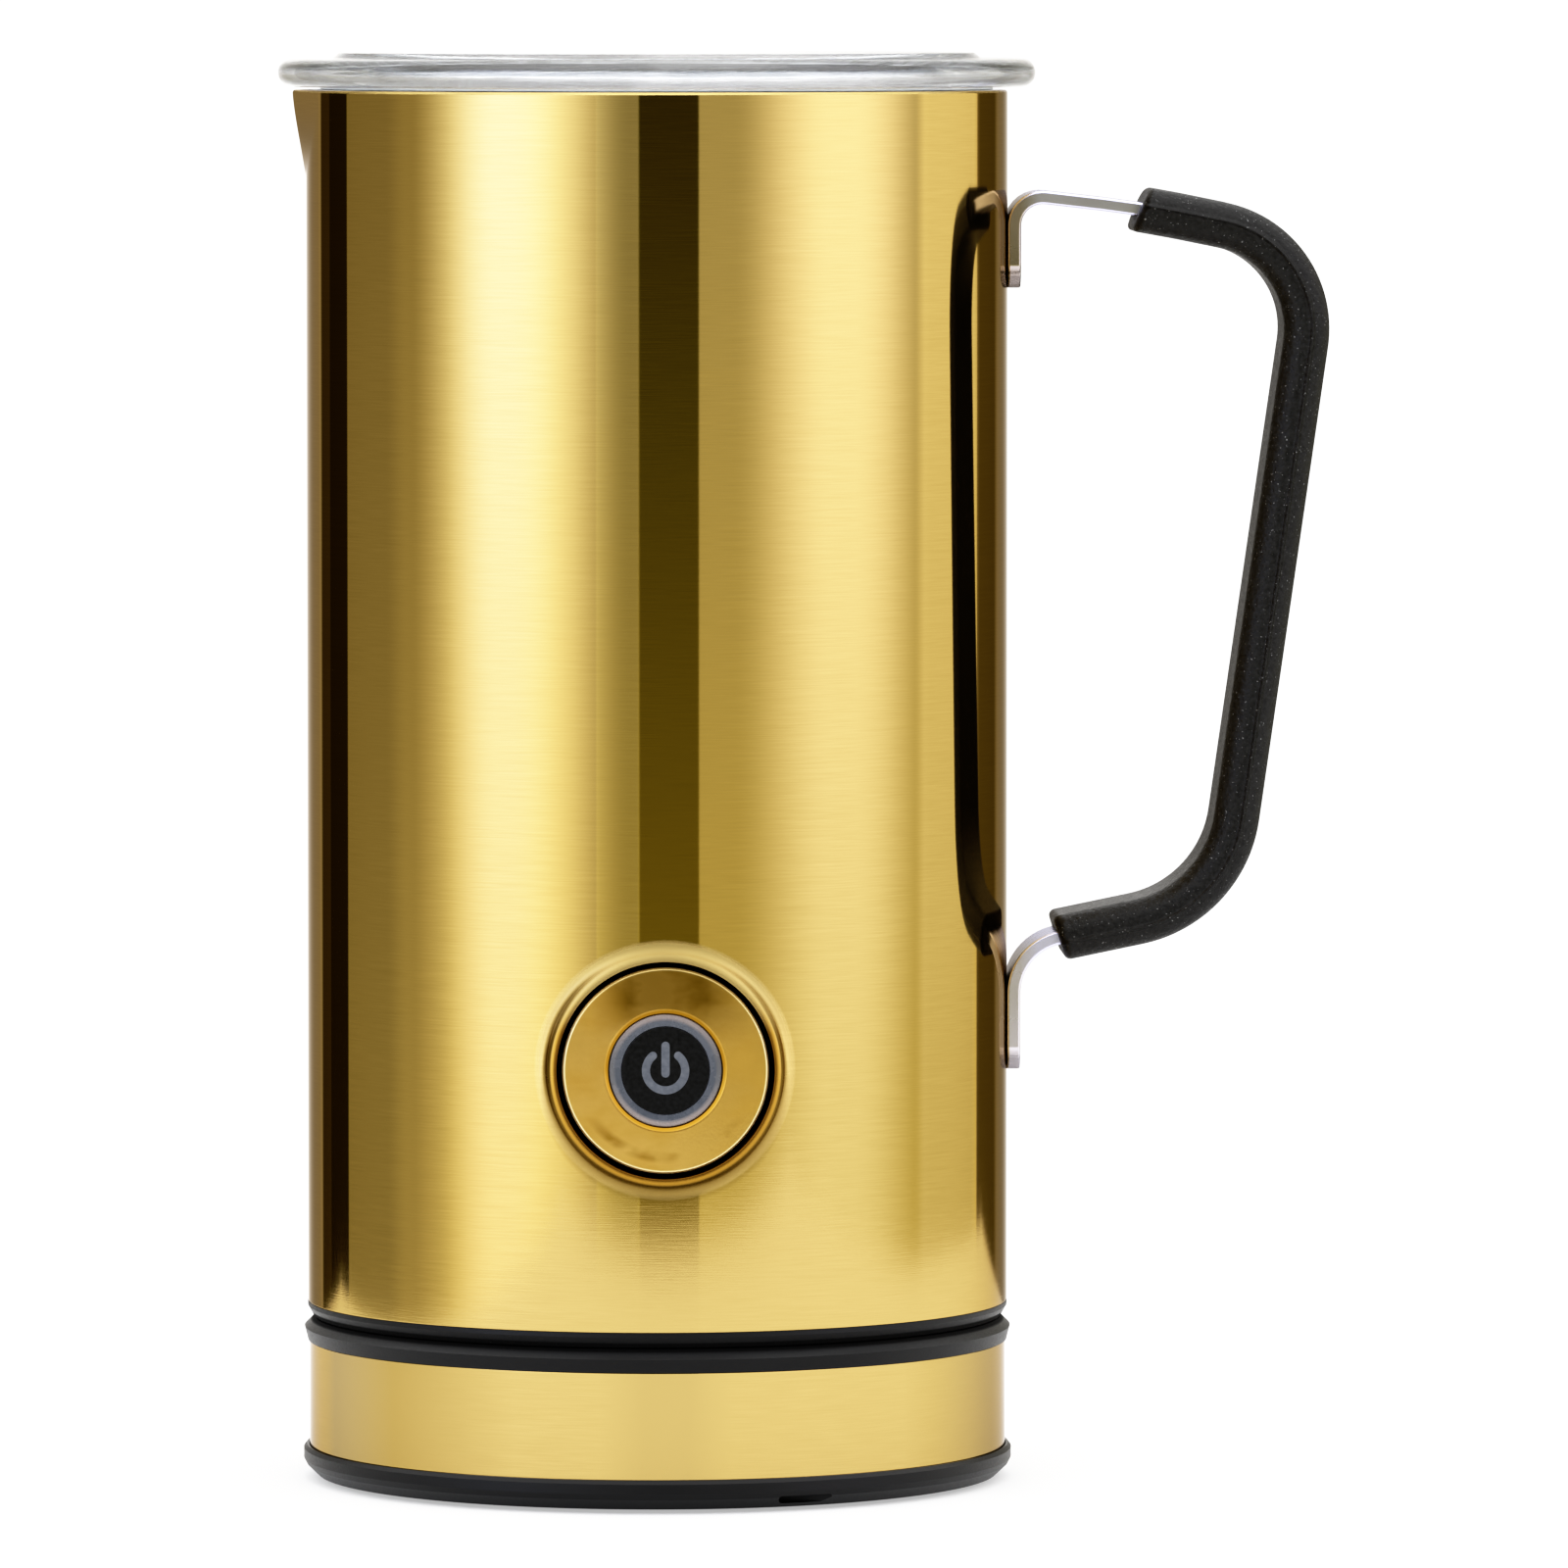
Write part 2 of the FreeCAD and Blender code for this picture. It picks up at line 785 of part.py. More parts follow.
def make_jug_connector():
    """The plug in the roof of the jug's well: a centre pin and two ring contacts."""
    inner = dim("inner_ring_radius")
    outer = dim("outer_ring_radius")
    top = connector_low + 5.0
    turned("jug_connector", [
        (pin_radius, connector_low),
        (inner - RING_HALF, connector_low),
        (inner - RING_HALF, top),
        (inner + RING_HALF, top),
        (inner + RING_HALF, connector_low),
        (outer - RING_HALF, connector_low),
        (outer - RING_HALF, top),
        (outer + RING_HALF, top),
        (outer + RING_HALF, connector_low),
        (boss_radius + 2.6, connector_low),
        (boss_radius + 2.6, top + 2.0),
        (0, top + 2.0),
        (0, top),
        (pin_radius, top),
    ])
    turned("jug_pin", [
        (0, dim("contact_low")),
        (pin_radius, dim("contact_low"), 0.8),
        (pin_radius, top),
        (0, top),
    ])
    for label, radius in (("jug_inner_ring", inner), ("jug_outer_ring", outer)):
        turned(label, [
            (radius - RING_HALF, dim("contact_low")),
            (radius + RING_HALF, dim("contact_low")),
            (radius + RING_HALF, top),
            (radius - RING_HALF, top),
        ])


def make_electronics():
    """The control board behind the button and what is soldered to it."""
    block("control_board", -17.0, -board_front, 41.0, 34.0, 1.6, 28.0)
    switch = new_body("tact_switch")
    case = new_sketch(switch, "XZ_Plane", board_front)
    add_outline(case, [
        (-3.0, button_height - 3.0),
        (3.0, button_height - 3.0),
        (3.0, button_height + 3.0),
        (-3.0, button_height + 3.0),
    ])
    pad(switch, case, 3.5)
    well = new_sketch(switch, "XZ_Plane", board_front + 3.5)
    add_circle(well, 0, button_height, 1.85)
    pocket(switch, well, 2.0)
    makers = []
    for x, y in round_about(4, size_of(6.6), 45):
        makers.append((lambda name, x=x, y=y: make_led(name, x, y), 0, 0))
    group("ring_leds", makers)
    capacitor = turned("board_capacitor", [(0, 0), (5.0, 0), (5.0, 12.0, 0.8), (0, 12.0)])
    set_place(capacitor, 9.5, 1.6 - board_front, 52.0, (1, 0, 0), -90)
    block("board_relay", -15.0, 1.6 - board_front, 46.0, 12.0, 9.0, 15.0)


def make_led(name, x, y):
    return block(name, x - 0.8, -board_front - 0.8, button_height + y - 0.8, 1.6, 0.8, 1.6)


def make_button_housing():
    """The round guide behind the shell that the button slides in, cut to the shell's curve."""
    radius = dim("opening_radius")
    tube = turned("button_guide", [
        (10.0, board_front),
        (radius + 2.0, board_front),
        (radius + 2.0, shell_inside - 0.1),
        (radius + 0.2, shell_inside - 0.1),
        (radius + 0.2, board_front + 1.6),
        (10.0, board_front + 1.6),
    ])
    face_front(tube)
    inside = document.addObject("Part::Cylinder", "inside_of_shell")
    bind(inside, "Radius", shell_inside)
    bind(inside, "Height", shell_top - shell_low)
    set_place(inside, z=shell_low)
    boolean("Common", "button_housing", tube, inside)


# ---------------------------------------------------------------- push button


def make_button():
    """The gold cap with its clear light ring, black disc, icon, carrier and switch stem."""
    front = dim("cap_front")
    cap = dim("cap_radius")
    window = dim("window_radius")
    disc = dim("disc_radius")
    steel = dim("sheet_steel") + 0.4
    web = front - 4.7
    shell = turned("button_cap", [
        (window, front - steel),
        (cap - 0.8, front - steel),
        (cap - 0.8, front - 7.2),
        (cap, front - 7.2),
        (cap, front),
        (window, front),
    ])

    def on_face_rim(edge):
        return is_circle(edge, cap, front) or is_circle(edge, window, front)

    round_edges(shell, on_face_rim, 0.25, "Chamfer")
    face_front(shell)
    carrier = turned("button_carrier", [
        (0, web - 2.0),
        (cap - 0.85, web - 2.0),
        (cap - 0.85, front - steel),
        (window, front - steel),
        (window, web),
        (0, web),
    ])
    face_front(carrier)
    light = turned("button_light_ring", [
        (0, web),
        (window, web),
        (window, front - 0.3, 0.3),
        (disc, front - 0.3),
        (disc, web + 2.2),
        (0, web + 2.2),
    ])
    face_front(light)
    face = turned("button_disc", [
        (0, web + 2.2),
        (disc, web + 2.2),
        (disc, front - 0.25),
        (0, front - 0.25),
    ])
    icon_cut = icon_sketches(face, front - 0.4)
    for sketch in icon_cut:
        pocket(face, sketch, 0.2, True)
    face_front(face)
    icon = group("power_icon", [
        (lambda name: make_icon_piece(name, 0, front), 0, 0),
        (lambda name: make_icon_piece(name, 1, front), 0, 0),
    ])
    face_front(icon)
    stem = turned("switch_stem", [
        (0, board_front + 3.2),
        (1.75, board_front + 3.2, 0.3),
        (1.75, web - 2.0),
        (0, web - 2.0),
    ])
    face_front(stem)


def make_icon_piece(name, which, front):
    body = new_body(name)
    sketch = icon_sketches(body, front - 0.4, which)[0]
    pad(body, sketch, 0.15)
    return body


def icon_sketches(body, height, which=None):
    """The power sign: 0 is the open ring, 1 the upright bar. Y of the sketch points up."""
    outer = dim("icon_outer").value
    inner = dim("icon_inner").value
    made = []
    if which in (None, 0):
        ring = new_sketch(body, "XY_Plane", height)
        add_open_ring(ring, inner, outer, math.radians(33))
        made.append(ring)
    if which in (None, 1):
        bar = new_sketch(body, "XY_Plane", height)
        half = (outer - inner) / 2
        add_slot(bar, half + 0.03, -0.7 + half, 3.8 - half)
        made.append(bar)
    return made


def spot(radius, angle):
    """A point at an angle from straight up."""
    return FreeCAD.Vector(radius * math.sin(angle), radius * math.cos(angle), 0)


def add_open_ring(sketch, inner, outer, half_gap):
    """A ring with round ends and a gap at the top."""
    middle = (inner + outer) / 2
    half = (outer - inner) / 2
    end = spot(middle, half_gap)
    along = spot(1.0, half_gap + math.pi / 2)
    tip = end - along * half
    mirror = FreeCAD.Vector(-1, 1, 0)
    start_out = spot(outer, half_gap)
    start_in = spot(inner, half_gap)
    flipped = [flip(v, mirror) for v in (start_out, tip, start_in)]
    sketch.addGeometry(Part.Arc(start_out, FreeCAD.Vector(0, -outer, 0), flipped[0]))
    sketch.addGeometry(Part.Arc(flipped[0], flipped[1], flipped[2]))
    sketch.addGeometry(Part.Arc(flipped[2], FreeCAD.Vector(0, -inner, 0), start_in))
    sketch.addGeometry(Part.Arc(start_in, tip, start_out))
    for geometry in range(4):
        sketch.addConstraint(Sketcher.Constraint("Block", geometry))


def flip(point, mirror):
    return FreeCAD.Vector(point.x * mirror.x, point.y * mirror.y, 0)


def add_slot(sketch, half, low, high):
    """An upright bar with round ends."""
    left_low = FreeCAD.Vector(-half, low, 0)
    right_low = FreeCAD.Vector(half, low, 0)
    left_high = FreeCAD.Vector(-half, high, 0)
    right_high = FreeCAD.Vector(half, high, 0)
    sketch.addGeometry(Part.LineSegment(right_low, right_high))
    sketch.addGeometry(Part.Arc(right_high, FreeCAD.Vector(0, high + half, 0), left_high))
    sketch.addGeometry(Part.LineSegment(left_high, left_low))
    sketch.addGeometry(Part.Arc(left_low, FreeCAD.Vector(0, low - half, 0), right_low))
    for geometry in range(4):
        sketch.addConstraint(Sketcher.Constraint("Block", geometry))


# ---------------------------------------------------------------- handle


def strap_route():
    """Corners of the strap's middle line in the XZ plane, from the upper foot to the lower."""
    foot = dim("strap_inside") + dim("strap_thickness") * 0.5
    return [
        (foot, size_of(161.6)),
        (foot, size_of(174.3), 3.8),
        (size_of(65.5), size_of(172.3), 120.0),
        (size_of(89.5), size_of(167.4), 14.3),
        (size_of(76.7), size_of(78.2), 16.9),
        (foot, size_of(72.3), 7.7),
        (foot, size_of(55.6)),
    ]


def make_handle_strap():
    """The bent steel strap, saddled and spot-welded to the shell at both feet."""
    body = new_body("handle_strap")
    half_thick = dim("strap_thickness") * 0.5
    half_wide = dim("strap_width") * 0.5
    pipe_along_route(body, "AdditivePipe", rectangle(half_thick, half_wide))
    round_edges(body, is_foot_corner, 3.2)
    saddle = new_sketch(body, "XY_Plane", 50.0)
    add_circle(saddle, 0, 0, shell_radius)
    pocket(body, saddle, 125.0, True)


def make_handle_sleeve():
    """The soft sleeve over the strap between its two arms, with slanted ends."""
    body = new_body("handle_sleeve")
    half_thick = dim("sleeve_thickness") * 0.5
    half_wide = dim("sleeve_width") * 0.5
    rounding_radius = half_thick * 0.96
    section = [corner + (rounding_radius,) for corner in rectangle(half_thick, half_wide)]
    pipe_along_route(body, "AdditivePipe", section)
    slot = rectangle(dim("strap_thickness") * 0.5, dim("strap_width") * 0.5)
    pipe_along_route(body, "SubtractivePipe", slot)
    ends = new_sketch(body, "XZ_Plane", 20.0)
    add_outline(ends, [
        (20.0, 190.0),
        (72.7, 190.0),
        (59.9, 160.0),
        (49.2, 90.0),
        (64.8, 40.0),
        (20.0, 40.0),
    ])
    pocket(body, ends, 40.0)


def rectangle(half_x, half_y):
    """Corners of a rectangle about the strap's middle line at its upper foot."""
    foot = strap_route()[0][0]
    return [
        (foot - half_x, -half_y),
        (foot + half_x, -half_y),
        (foot + half_x, half_y),
        (foot - half_x, half_y),
    ]


def pipe_along_route(body, kind, corners):
    """Sweeps a section along the handle's route, from the upper foot to the lower."""
    route = new_sketch(body, "XZ_Plane")
    add_outline(route, strap_route(), closed=False)
    across = new_sketch(body, "XY_Plane", strap_route()[0][1])
    add_outline(across, corners)
    pipe = body.newObject("PartDesign::" + kind, "swept")
    pipe.Profile = across
    pipe.Spine = (route, [])
    pipe.Transition = "Right corner"
    document.recompute()
    return pipe


def is_foot_corner(edge):
    """The short edges through the strap's thickness at the corners of its feet."""
    box = edge.BoundBox
    across = box.XLength > 1.7 and box.YLength < 1e-4 and box.ZLength < 1e-4
    return across and (abs(box.ZMin - 161.6) < 0.01 or abs(box.ZMin - 55.6) < 0.01)


# ---------------------------------------------------------------- lid


def make_lid():
    """The clear lid: a full-round rim, a raised plate and a skirt that fits in the cup."""
    low = dim("lid_low")
    rim_top = low + dim("lid_rim_thickness")
    plate = dim("lid_plate_radius")
    skirt = dim("lid_skirt_radius")
    half_rim = dim("lid_rim_thickness") * 0.49
    turned("lid", [
        (0, dim("lid_top") - 2.2),
        (skirt - 2.0, dim("lid_top") - 2.2, 0.8),
        (skirt - 2.0, low - 6.0),
        (skirt, low - 6.0),
        (skirt, low),
        (dim("lid_radius"), low, half_rim),
        (dim("lid_radius"), rim_top, half_rim),
        (plate + 0.8, rim_top),
        (plate, dim("lid_top")),
        (0, dim("lid_top")),
    ])
    turned("lid_seal", [
        (skirt, low - 4.5),
        (cup_radius - 0.15, low - 4.0),
        (cup_radius - 0.15, low - 3.4),
        (cup_radius - 0.5, low - 3.0),
        (cup_radius - 0.5, shell_top + 0.1),
        (cup_radius + 3.0, shell_top + 0.1),
        (cup_radius + 3.0, low),
        (skirt, low),
    ])


# ---------------------------------------------------------------- rotor and whisk


def make_rotor():
    """What the motor turns: its shaft and the magnet disc just under the cup."""
    turned("motor_shaft", [
        (0, motor_low + 5.0),
        (shaft_radius, motor_low + 5.0),
        (shaft_radius, drive_top),
        (0, drive_top),
    ])
    disc = turned("drive_disc", [
        (shaft_radius, drive_low),
        (4.0, drive_low),
        (4.0, drive_low + 2.0),
        (dim("drive_radius"), drive_low + 2.0),
        (dim("drive_radius"), drive_top),
        (shaft_radius, drive_top),
    ])
    bore(disc, magnet_places, magnet_radius, drive_top, magnet_height)
    make_magnets("drive_magnets", drive_top - magnet_height)


def make_magnets(label, low):
    turned_group(label, [
        (0, low),
        (magnet_radius, low),
        (magnet_radius, low + magnet_height),
        (0, low + magnet_height),
    ], magnet_places)


def make_whisk():
    """The whisk that sits on the post: hub, magnets, wire frame and three spring coils."""
    low = dim("whisk_low")
    reach = dim("drive_radius")
    cap = dim("post_top") + 4.0
    hub = turned("whisk_hub", [
        (pin_radius + 0.08, low),
        (reach, low, 0.8),
        (reach, low + 4.4, 1.0),
        (4.2, low + 6.0),
        (3.6, cap, 1.5),
        (0, cap),
        (0, cap - 2.0),
        (pin_radius + 0.08, cap - 2.0),
    ])
    bore(hub, magnet_places, magnet_radius, low, magnet_height, True)
    make_magnets("whisk_magnets", low)
    ring = dim("whisk_ring_radius")
    height = dim("whisk_ring_height")
    wire = dim("whisk_wire")
    hoop = document.addObject("Part::Torus", "hoop")
    bind(hoop, "Radius1", ring)
    bind(hoop, "Radius2", wire)
    set_place(hoop, z=height)
    arms = []
    for i in range(3):
        arm = document.addObject("Part::Cylinder", "arm")
        bind(arm, "Radius", wire)
        bind(arm, "Height", ring)
        set_place(arm, z=height, axis=(0, 1, 0), degrees=90)
        spoke = FreeCAD.Rotation(FreeCAD.Vector(0, 0, 1), 120.0 * i)
        arm.Placement.Rotation = spoke.multiply(arm.Placement.Rotation)
        arms.append(arm)
    spider = document.addObject("Part::MultiFuse", "spider")
    spider.Shapes = [hoop] + arms
    core = document.addObject("Part::Cylinder", "hub_core")
    core.Radius = 4.0
    core.Height = 4.0
    set_place(core, z=height - 2.0)
    boolean("Cut", "whisk_frame", spider, core)
    group("whisk_coil", [(lambda name, i=i: make_coil(name, i), 0, 0) for i in range(3)])


def make_coil(name, i):
    """One stretch of the spring coil threaded on the hoop, as its hollow envelope."""
    tubes = []
    for label, size in (("outer", dim("whisk_coil")), ("inner", dim("whisk_coil") - 0.6)):
        tube = document.addObject("Part::Torus", label)
        bind(tube, "Radius1", dim("whisk_ring_radius"))
        bind(tube, "Radius2", size)
        tube.Angle3 = 108
        set_place(tube, z=dim("whisk_ring_height"), axis=(0, 0, 1), degrees=120.0 * i + 6.0)
        tubes.append(tube)
    return boolean("Cut", name, tubes[0], tubes[1])


# ---------------------------------------------------------------- build and write

make_base_bottom_cover()
make_base_band()
make_base_top_cover()
make_base_connector()
make_base_contacts()
make_cord_gland()
make_base_feet()
make_base_screws()
make_jug_shell()
make_inner_cup()
make_whisk_post()
make_heater()
make_motor()
make_motor_bracket()
make_motor_screws()
make_jug_bottom_cover()
make_jug_screws()
make_jug_connector()
make_electronics()
make_button_housing()
make_button()
make_handle_strap()
make_handle_sleeve()
make_lid()
make_rotor()
make_whisk()
document.recompute()

NODES = [
    "base_bottom_cover", "base_band", "base_top_cover", "base_connector", "earth_contact",
    "live_contact", "neutral_contact", "cord_gland", "base_feet", "base_screws",
    "jug_shell", "inner_cup", "whisk_post", "heat_plate", "heating_tube", "temperature_sensor",
    "thermal_cutout", "motor", "motor_bracket", "motor_screws", "jug_bottom_cover", "jug_screws",
    "jug_connector", "jug_pin", "jug_inner_ring", "jug_outer_ring", "control_board",
    "tact_switch", "ring_leds", "board_capacitor", "board_relay", "button_housing",
    "handle_strap", "handle_sleeve",
    "button_cap", "button_carrier", "button_light_ring", "button_disc", "power_icon",
    "switch_stem", "lid", "lid_seal", "motor_shaft", "drive_disc", "drive_magnets",
    "whisk_hub", "whisk_magnets", "whisk_frame", "whisk_coil",
]

for item in document.Objects:
    if "Invalid" in item.State or "Error" in item.State:
        raise RuntimeError("%s did not compute: %s" % (item.Label, item.State))

os.makedirs("parts", exist_ok=True)
for label in NODES:
    shape = document.getObjectsByLabel(label)[0].Shape
    if shape.isNull() or not shape.isValid() or not shape.Solids:
        raise RuntimeError("%s has no valid solid" % label)
    shape.exportStep("parts/%s.step" % label)
    print("%-20s %d solids %9.1f mm3" % (label, len(shape.Solids), shape.Volume))
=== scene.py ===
"""The milk frother's visual model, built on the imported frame.

Lengths are in millimetres and angles in radians, unless a name or a comment says otherwise.
"""
import json
import math

import bpy
import numpy as np
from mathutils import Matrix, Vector


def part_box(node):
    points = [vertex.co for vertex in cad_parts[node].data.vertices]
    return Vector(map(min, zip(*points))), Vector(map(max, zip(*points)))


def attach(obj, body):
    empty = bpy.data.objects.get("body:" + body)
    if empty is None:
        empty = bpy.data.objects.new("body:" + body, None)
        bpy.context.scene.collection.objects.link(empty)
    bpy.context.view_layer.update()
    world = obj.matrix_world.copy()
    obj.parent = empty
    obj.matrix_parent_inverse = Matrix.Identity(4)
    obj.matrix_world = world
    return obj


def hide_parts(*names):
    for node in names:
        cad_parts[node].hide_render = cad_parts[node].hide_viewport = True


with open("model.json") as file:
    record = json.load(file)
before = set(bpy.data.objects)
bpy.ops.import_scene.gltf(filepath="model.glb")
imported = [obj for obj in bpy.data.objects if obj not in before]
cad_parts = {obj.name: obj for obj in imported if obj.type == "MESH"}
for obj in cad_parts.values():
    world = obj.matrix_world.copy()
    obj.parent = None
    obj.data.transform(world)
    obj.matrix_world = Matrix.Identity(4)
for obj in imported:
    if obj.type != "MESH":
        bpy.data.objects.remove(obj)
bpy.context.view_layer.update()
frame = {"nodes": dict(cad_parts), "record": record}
MM = 0.001


def span(node):
    """Lowest and highest corner of a CAD node, in millimetres."""
    low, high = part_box(node)
    return np.array(low) * 1000, np.array(high) * 1000


# ------ mesh helpers


def add_mesh(name, points, faces, normals=None, smooth=True):
    """An object from points in millimetres, with its own normals where they are given."""
    mesh = bpy.data.meshes.new(name)
    mesh.from_pydata((np.asarray(points) * MM).tolist(), [], faces)
    mesh.update()
    mesh.polygons.foreach_set("use_smooth", [smooth] * len(mesh.polygons))
    if normals is not None:
        unit = np.asarray(normals, float)
        unit = unit / np.linalg.norm(unit, axis=1, keepdims=True)
        mesh.normals_split_custom_set_from_vertices(unit.tolist())
    made = bpy.data.objects.new(name, mesh)
    bpy.context.scene.collection.objects.link(made)
    return made


def piece(made, body, slot, material, *nodes):
    """Gives a new piece its material, the CAD nodes it stands for and its body; slot is not used."""
    made.data.materials.clear()
    made.data.materials.append(material)
    if nodes:
        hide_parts(*nodes)
    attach(made, body)
    return made


def unit2(vector):
    return vector / np.linalg.norm(vector)


def outline(corners, closed=True, arc_step=12.0):
    """Points and outward normals along a counter-clockwise outline with rounded corners."""
    corners = [tuple(c) + (0.0,) * (3 - len(c)) for c in corners]
    count = len(corners)
    points = []
    normals = []
    for i, (x, y, radius) in enumerate(corners):
        here = np.array([x, y])
        is_end = not closed and i in (0, count - 1)
        before = np.array(corners[i - 1][:2])
        after = np.array(corners[(i + 1) % count][:2])
        if is_end:
            along = unit2(after - here) if i == 0 else unit2(here - before)
            points.append(here)
            normals.append(np.array([along[1], -along[0]]))
            continue
        first = unit2(here - before)
        second = unit2(after - here)
        turn = math.atan2(first[0] * second[1] - first[1] * second[0], float(first @ second))
        side = math.copysign(1.0, turn)
        reach = radius * math.tan(abs(turn) / 2)
        start = here - first * reach
        normal = np.array([first[1], -first[0]])
        centre = start - side * normal * radius
        steps = max(2, int(math.ceil(abs(math.degrees(turn)) / arc_step)))
        for k in range(steps + 1):
            angle = turn * k / steps
            c, s = math.cos(angle), math.sin(angle)
            turned = np.array([normal[0] * c - normal[1] * s, normal[0] * s + normal[1] * c])
            points.append(centre + side * turned * radius)
            normals.append(turned)
    return np.array(points), np.array(normals)


def grid_faces(rows, columns, skip):
    """Quads of a grid of vertices, numbered row by row and closed both ways, but for the skipped ones."""
    faces = []
    for i in range(rows):
        for j in range(columns):
            if not skip(i, j):
                low, high, k = i * columns, (i + 1) % rows * columns, (j + 1) % columns
                faces.append((low + j, low + k, high + k, high + j))
    return faces


def square_path(size):
    """Grid steps (row, column) once round a square patch, first along its low edge."""
    path = [(0, j) for j in range(size)] + [(i, size) for i in range(size)]
    return path + [(size, size - j) for j in range(size)] + [(size - i, 0) for i in range(size)]


def strip_faces(strips, verts):
    """Quads from each closed ring of vertices to the next, but none between rings in the same place."""
    faces = []
    for low, high in zip(strips[:-1], strips[1:]):
        for k in range(len(low)):
            m = (k + 1) % len(low)
            gap = math.dist(verts[low[k]], verts[high[k]]) + math.dist(verts[low[m]], verts[high[m]])
            if gap > 1e-5:
                faces.append((low[k], high[k], high[m], low[m]))
    return faces


def lathe(name, corners, segments=160, closed=True, arc_step=12.0, place=None):
    """A turned solid from an outline of (radius, height, rounding), counter-clockwise."""
    points, normals = outline(corners, closed, arc_step)
    angles = np.arange(segments) * 2 * math.pi / segments
    verts, turned, rings = [], [], []
    for (radius, height), (normal_r, normal_z) in zip(points, normals):
        if radius < 1e-6:
            rings.append([len(verts)])
            verts.append((0.0, 0.0, height))
            turned.append((0.0, 0.0, math.copysign(1.0, normal_z)))
            continue
        rings.append(list(range(len(verts), len(verts) + segments)))
        for angle in angles:
            c, s = math.cos(angle), math.sin(angle)
            verts.append((radius * c, radius * s, height))
            turned.append((normal_r * c, normal_r * s, normal_z))
    faces = []
    count = len(rings)
    for i in range(count if closed else count - 1):
        low, high = rings[i], rings[(i + 1) % count]
        for j in range(segments):
            k = (j + 1) % segments
            if len(low) == 1:
                faces.append((low[0], high[k], high[j]))
            elif len(high) == 1:
                faces.append((low[j], low[k], high[0]))
            else:
                faces.append((low[j], low[k], high[k], high[j]))
    verts, turned = np.array(verts), np.array(turned)
    if place is not None:
        verts, turned = place(verts, turned)
    return add_mesh(name, verts, faces, turned)


# ------ measures from the frame

shell_low, shell_high = span("jug_shell")
band_low, band_high = span("base_band")
lid_low, lid_high = span("lid")
cap_low, cap_high = span("button_cap")
disc_low, disc_high = span("button_disc")
light_low, light_high = span("button_light_ring")

SHEET = 0.6  # thickness of the jug's wall and of the base's band
shell_radius = round(shell_high[1], 2)
inner_radius = shell_radius - SHEET
shell_foot = shell_low[2]
shell_top = shell_high[2]
spout_tip = -shell_low[0]
button_height = (cap_low[2] + cap_high[2]) / 2
cap_radius = (cap_high[0] - cap_low[0]) / 2
cap_front = -cap_low[1]
window_radius = (light_high[0] - light_low[0]) / 2
disc_radius = (disc_high[0] - disc_low[0]) / 2
disc_front = -disc_low[1]


def face_front(verts, normals):
    """Turns a lathed piece's axis from +Z to the button's, which points to -Y."""
    def swing(v):
        return np.stack([v[:, 0], -v[:, 2], v[:, 1]], axis=1)
    return swing(verts) + np.array([0, 0, button_height]), swing(normals)


# ------ materials


class Nodes:
    """Short ways to add nodes to a tree. Every value is a number, a colour or another node's socket."""

    def __init__(self, tree):
        self.tree = tree
        tree.nodes.clear()

    def add(self, kind, settings=None, **inputs):
        """A new node; an underscore in an input's name stands for a space."""
        node = self.tree.nodes.new(kind)
        for key, value in (settings or {}).items():
            setattr(node, key, value)
        for key, value in inputs.items():
            self.put(node.inputs[key.replace("_", " ")], value)
        return node

    def put(self, socket, value):
        if isinstance(value, bpy.types.NodeSocket):
            self.tree.links.new(value, socket)
        else:
            socket.default_value = value

    def split(self, vector):
        node = self.add("ShaderNodeSeparateXYZ", Vector=vector)
        return node.outputs["X"], node.outputs["Y"], node.outputs["Z"]

    def spread(self, value, low, high, start=0.0, end=1.0, shape="LINEAR"):
        """Maps low..high of a value to start..end."""
        node = self.add(
            "ShaderNodeMapRange", {"interpolation_type": shape},
            Value=value, From_Min=low, From_Max=high, To_Min=start, To_Max=end,
        )
        return node.outputs["Result"]

    def operate(self, kind, operation, values):
        node = self.add(kind, {"operation": operation})
        for socket, value in zip(node.inputs, values):
            self.put(socket, value)
        return node

    def math(self, operation, *values):
        return self.operate("ShaderNodeMath", operation, values).outputs[0]

    def vector(self, operation, *values):
        return self.operate("ShaderNodeVectorMath", operation, values)

    def times(self, first, *others):
        """The product of two or more values."""
        for other in others:
            first = self.math("MULTIPLY", first, other)
        return first

    def blend(self, factor, first, second):
        node = self.add("ShaderNodeMix", {"data_type": "RGBA"})
        self.put(node.inputs["Factor"], factor)
        self.put(node.inputs["A"], colour(first))
        self.put(node.inputs["B"], colour(second))
        return node.outputs["Result"]


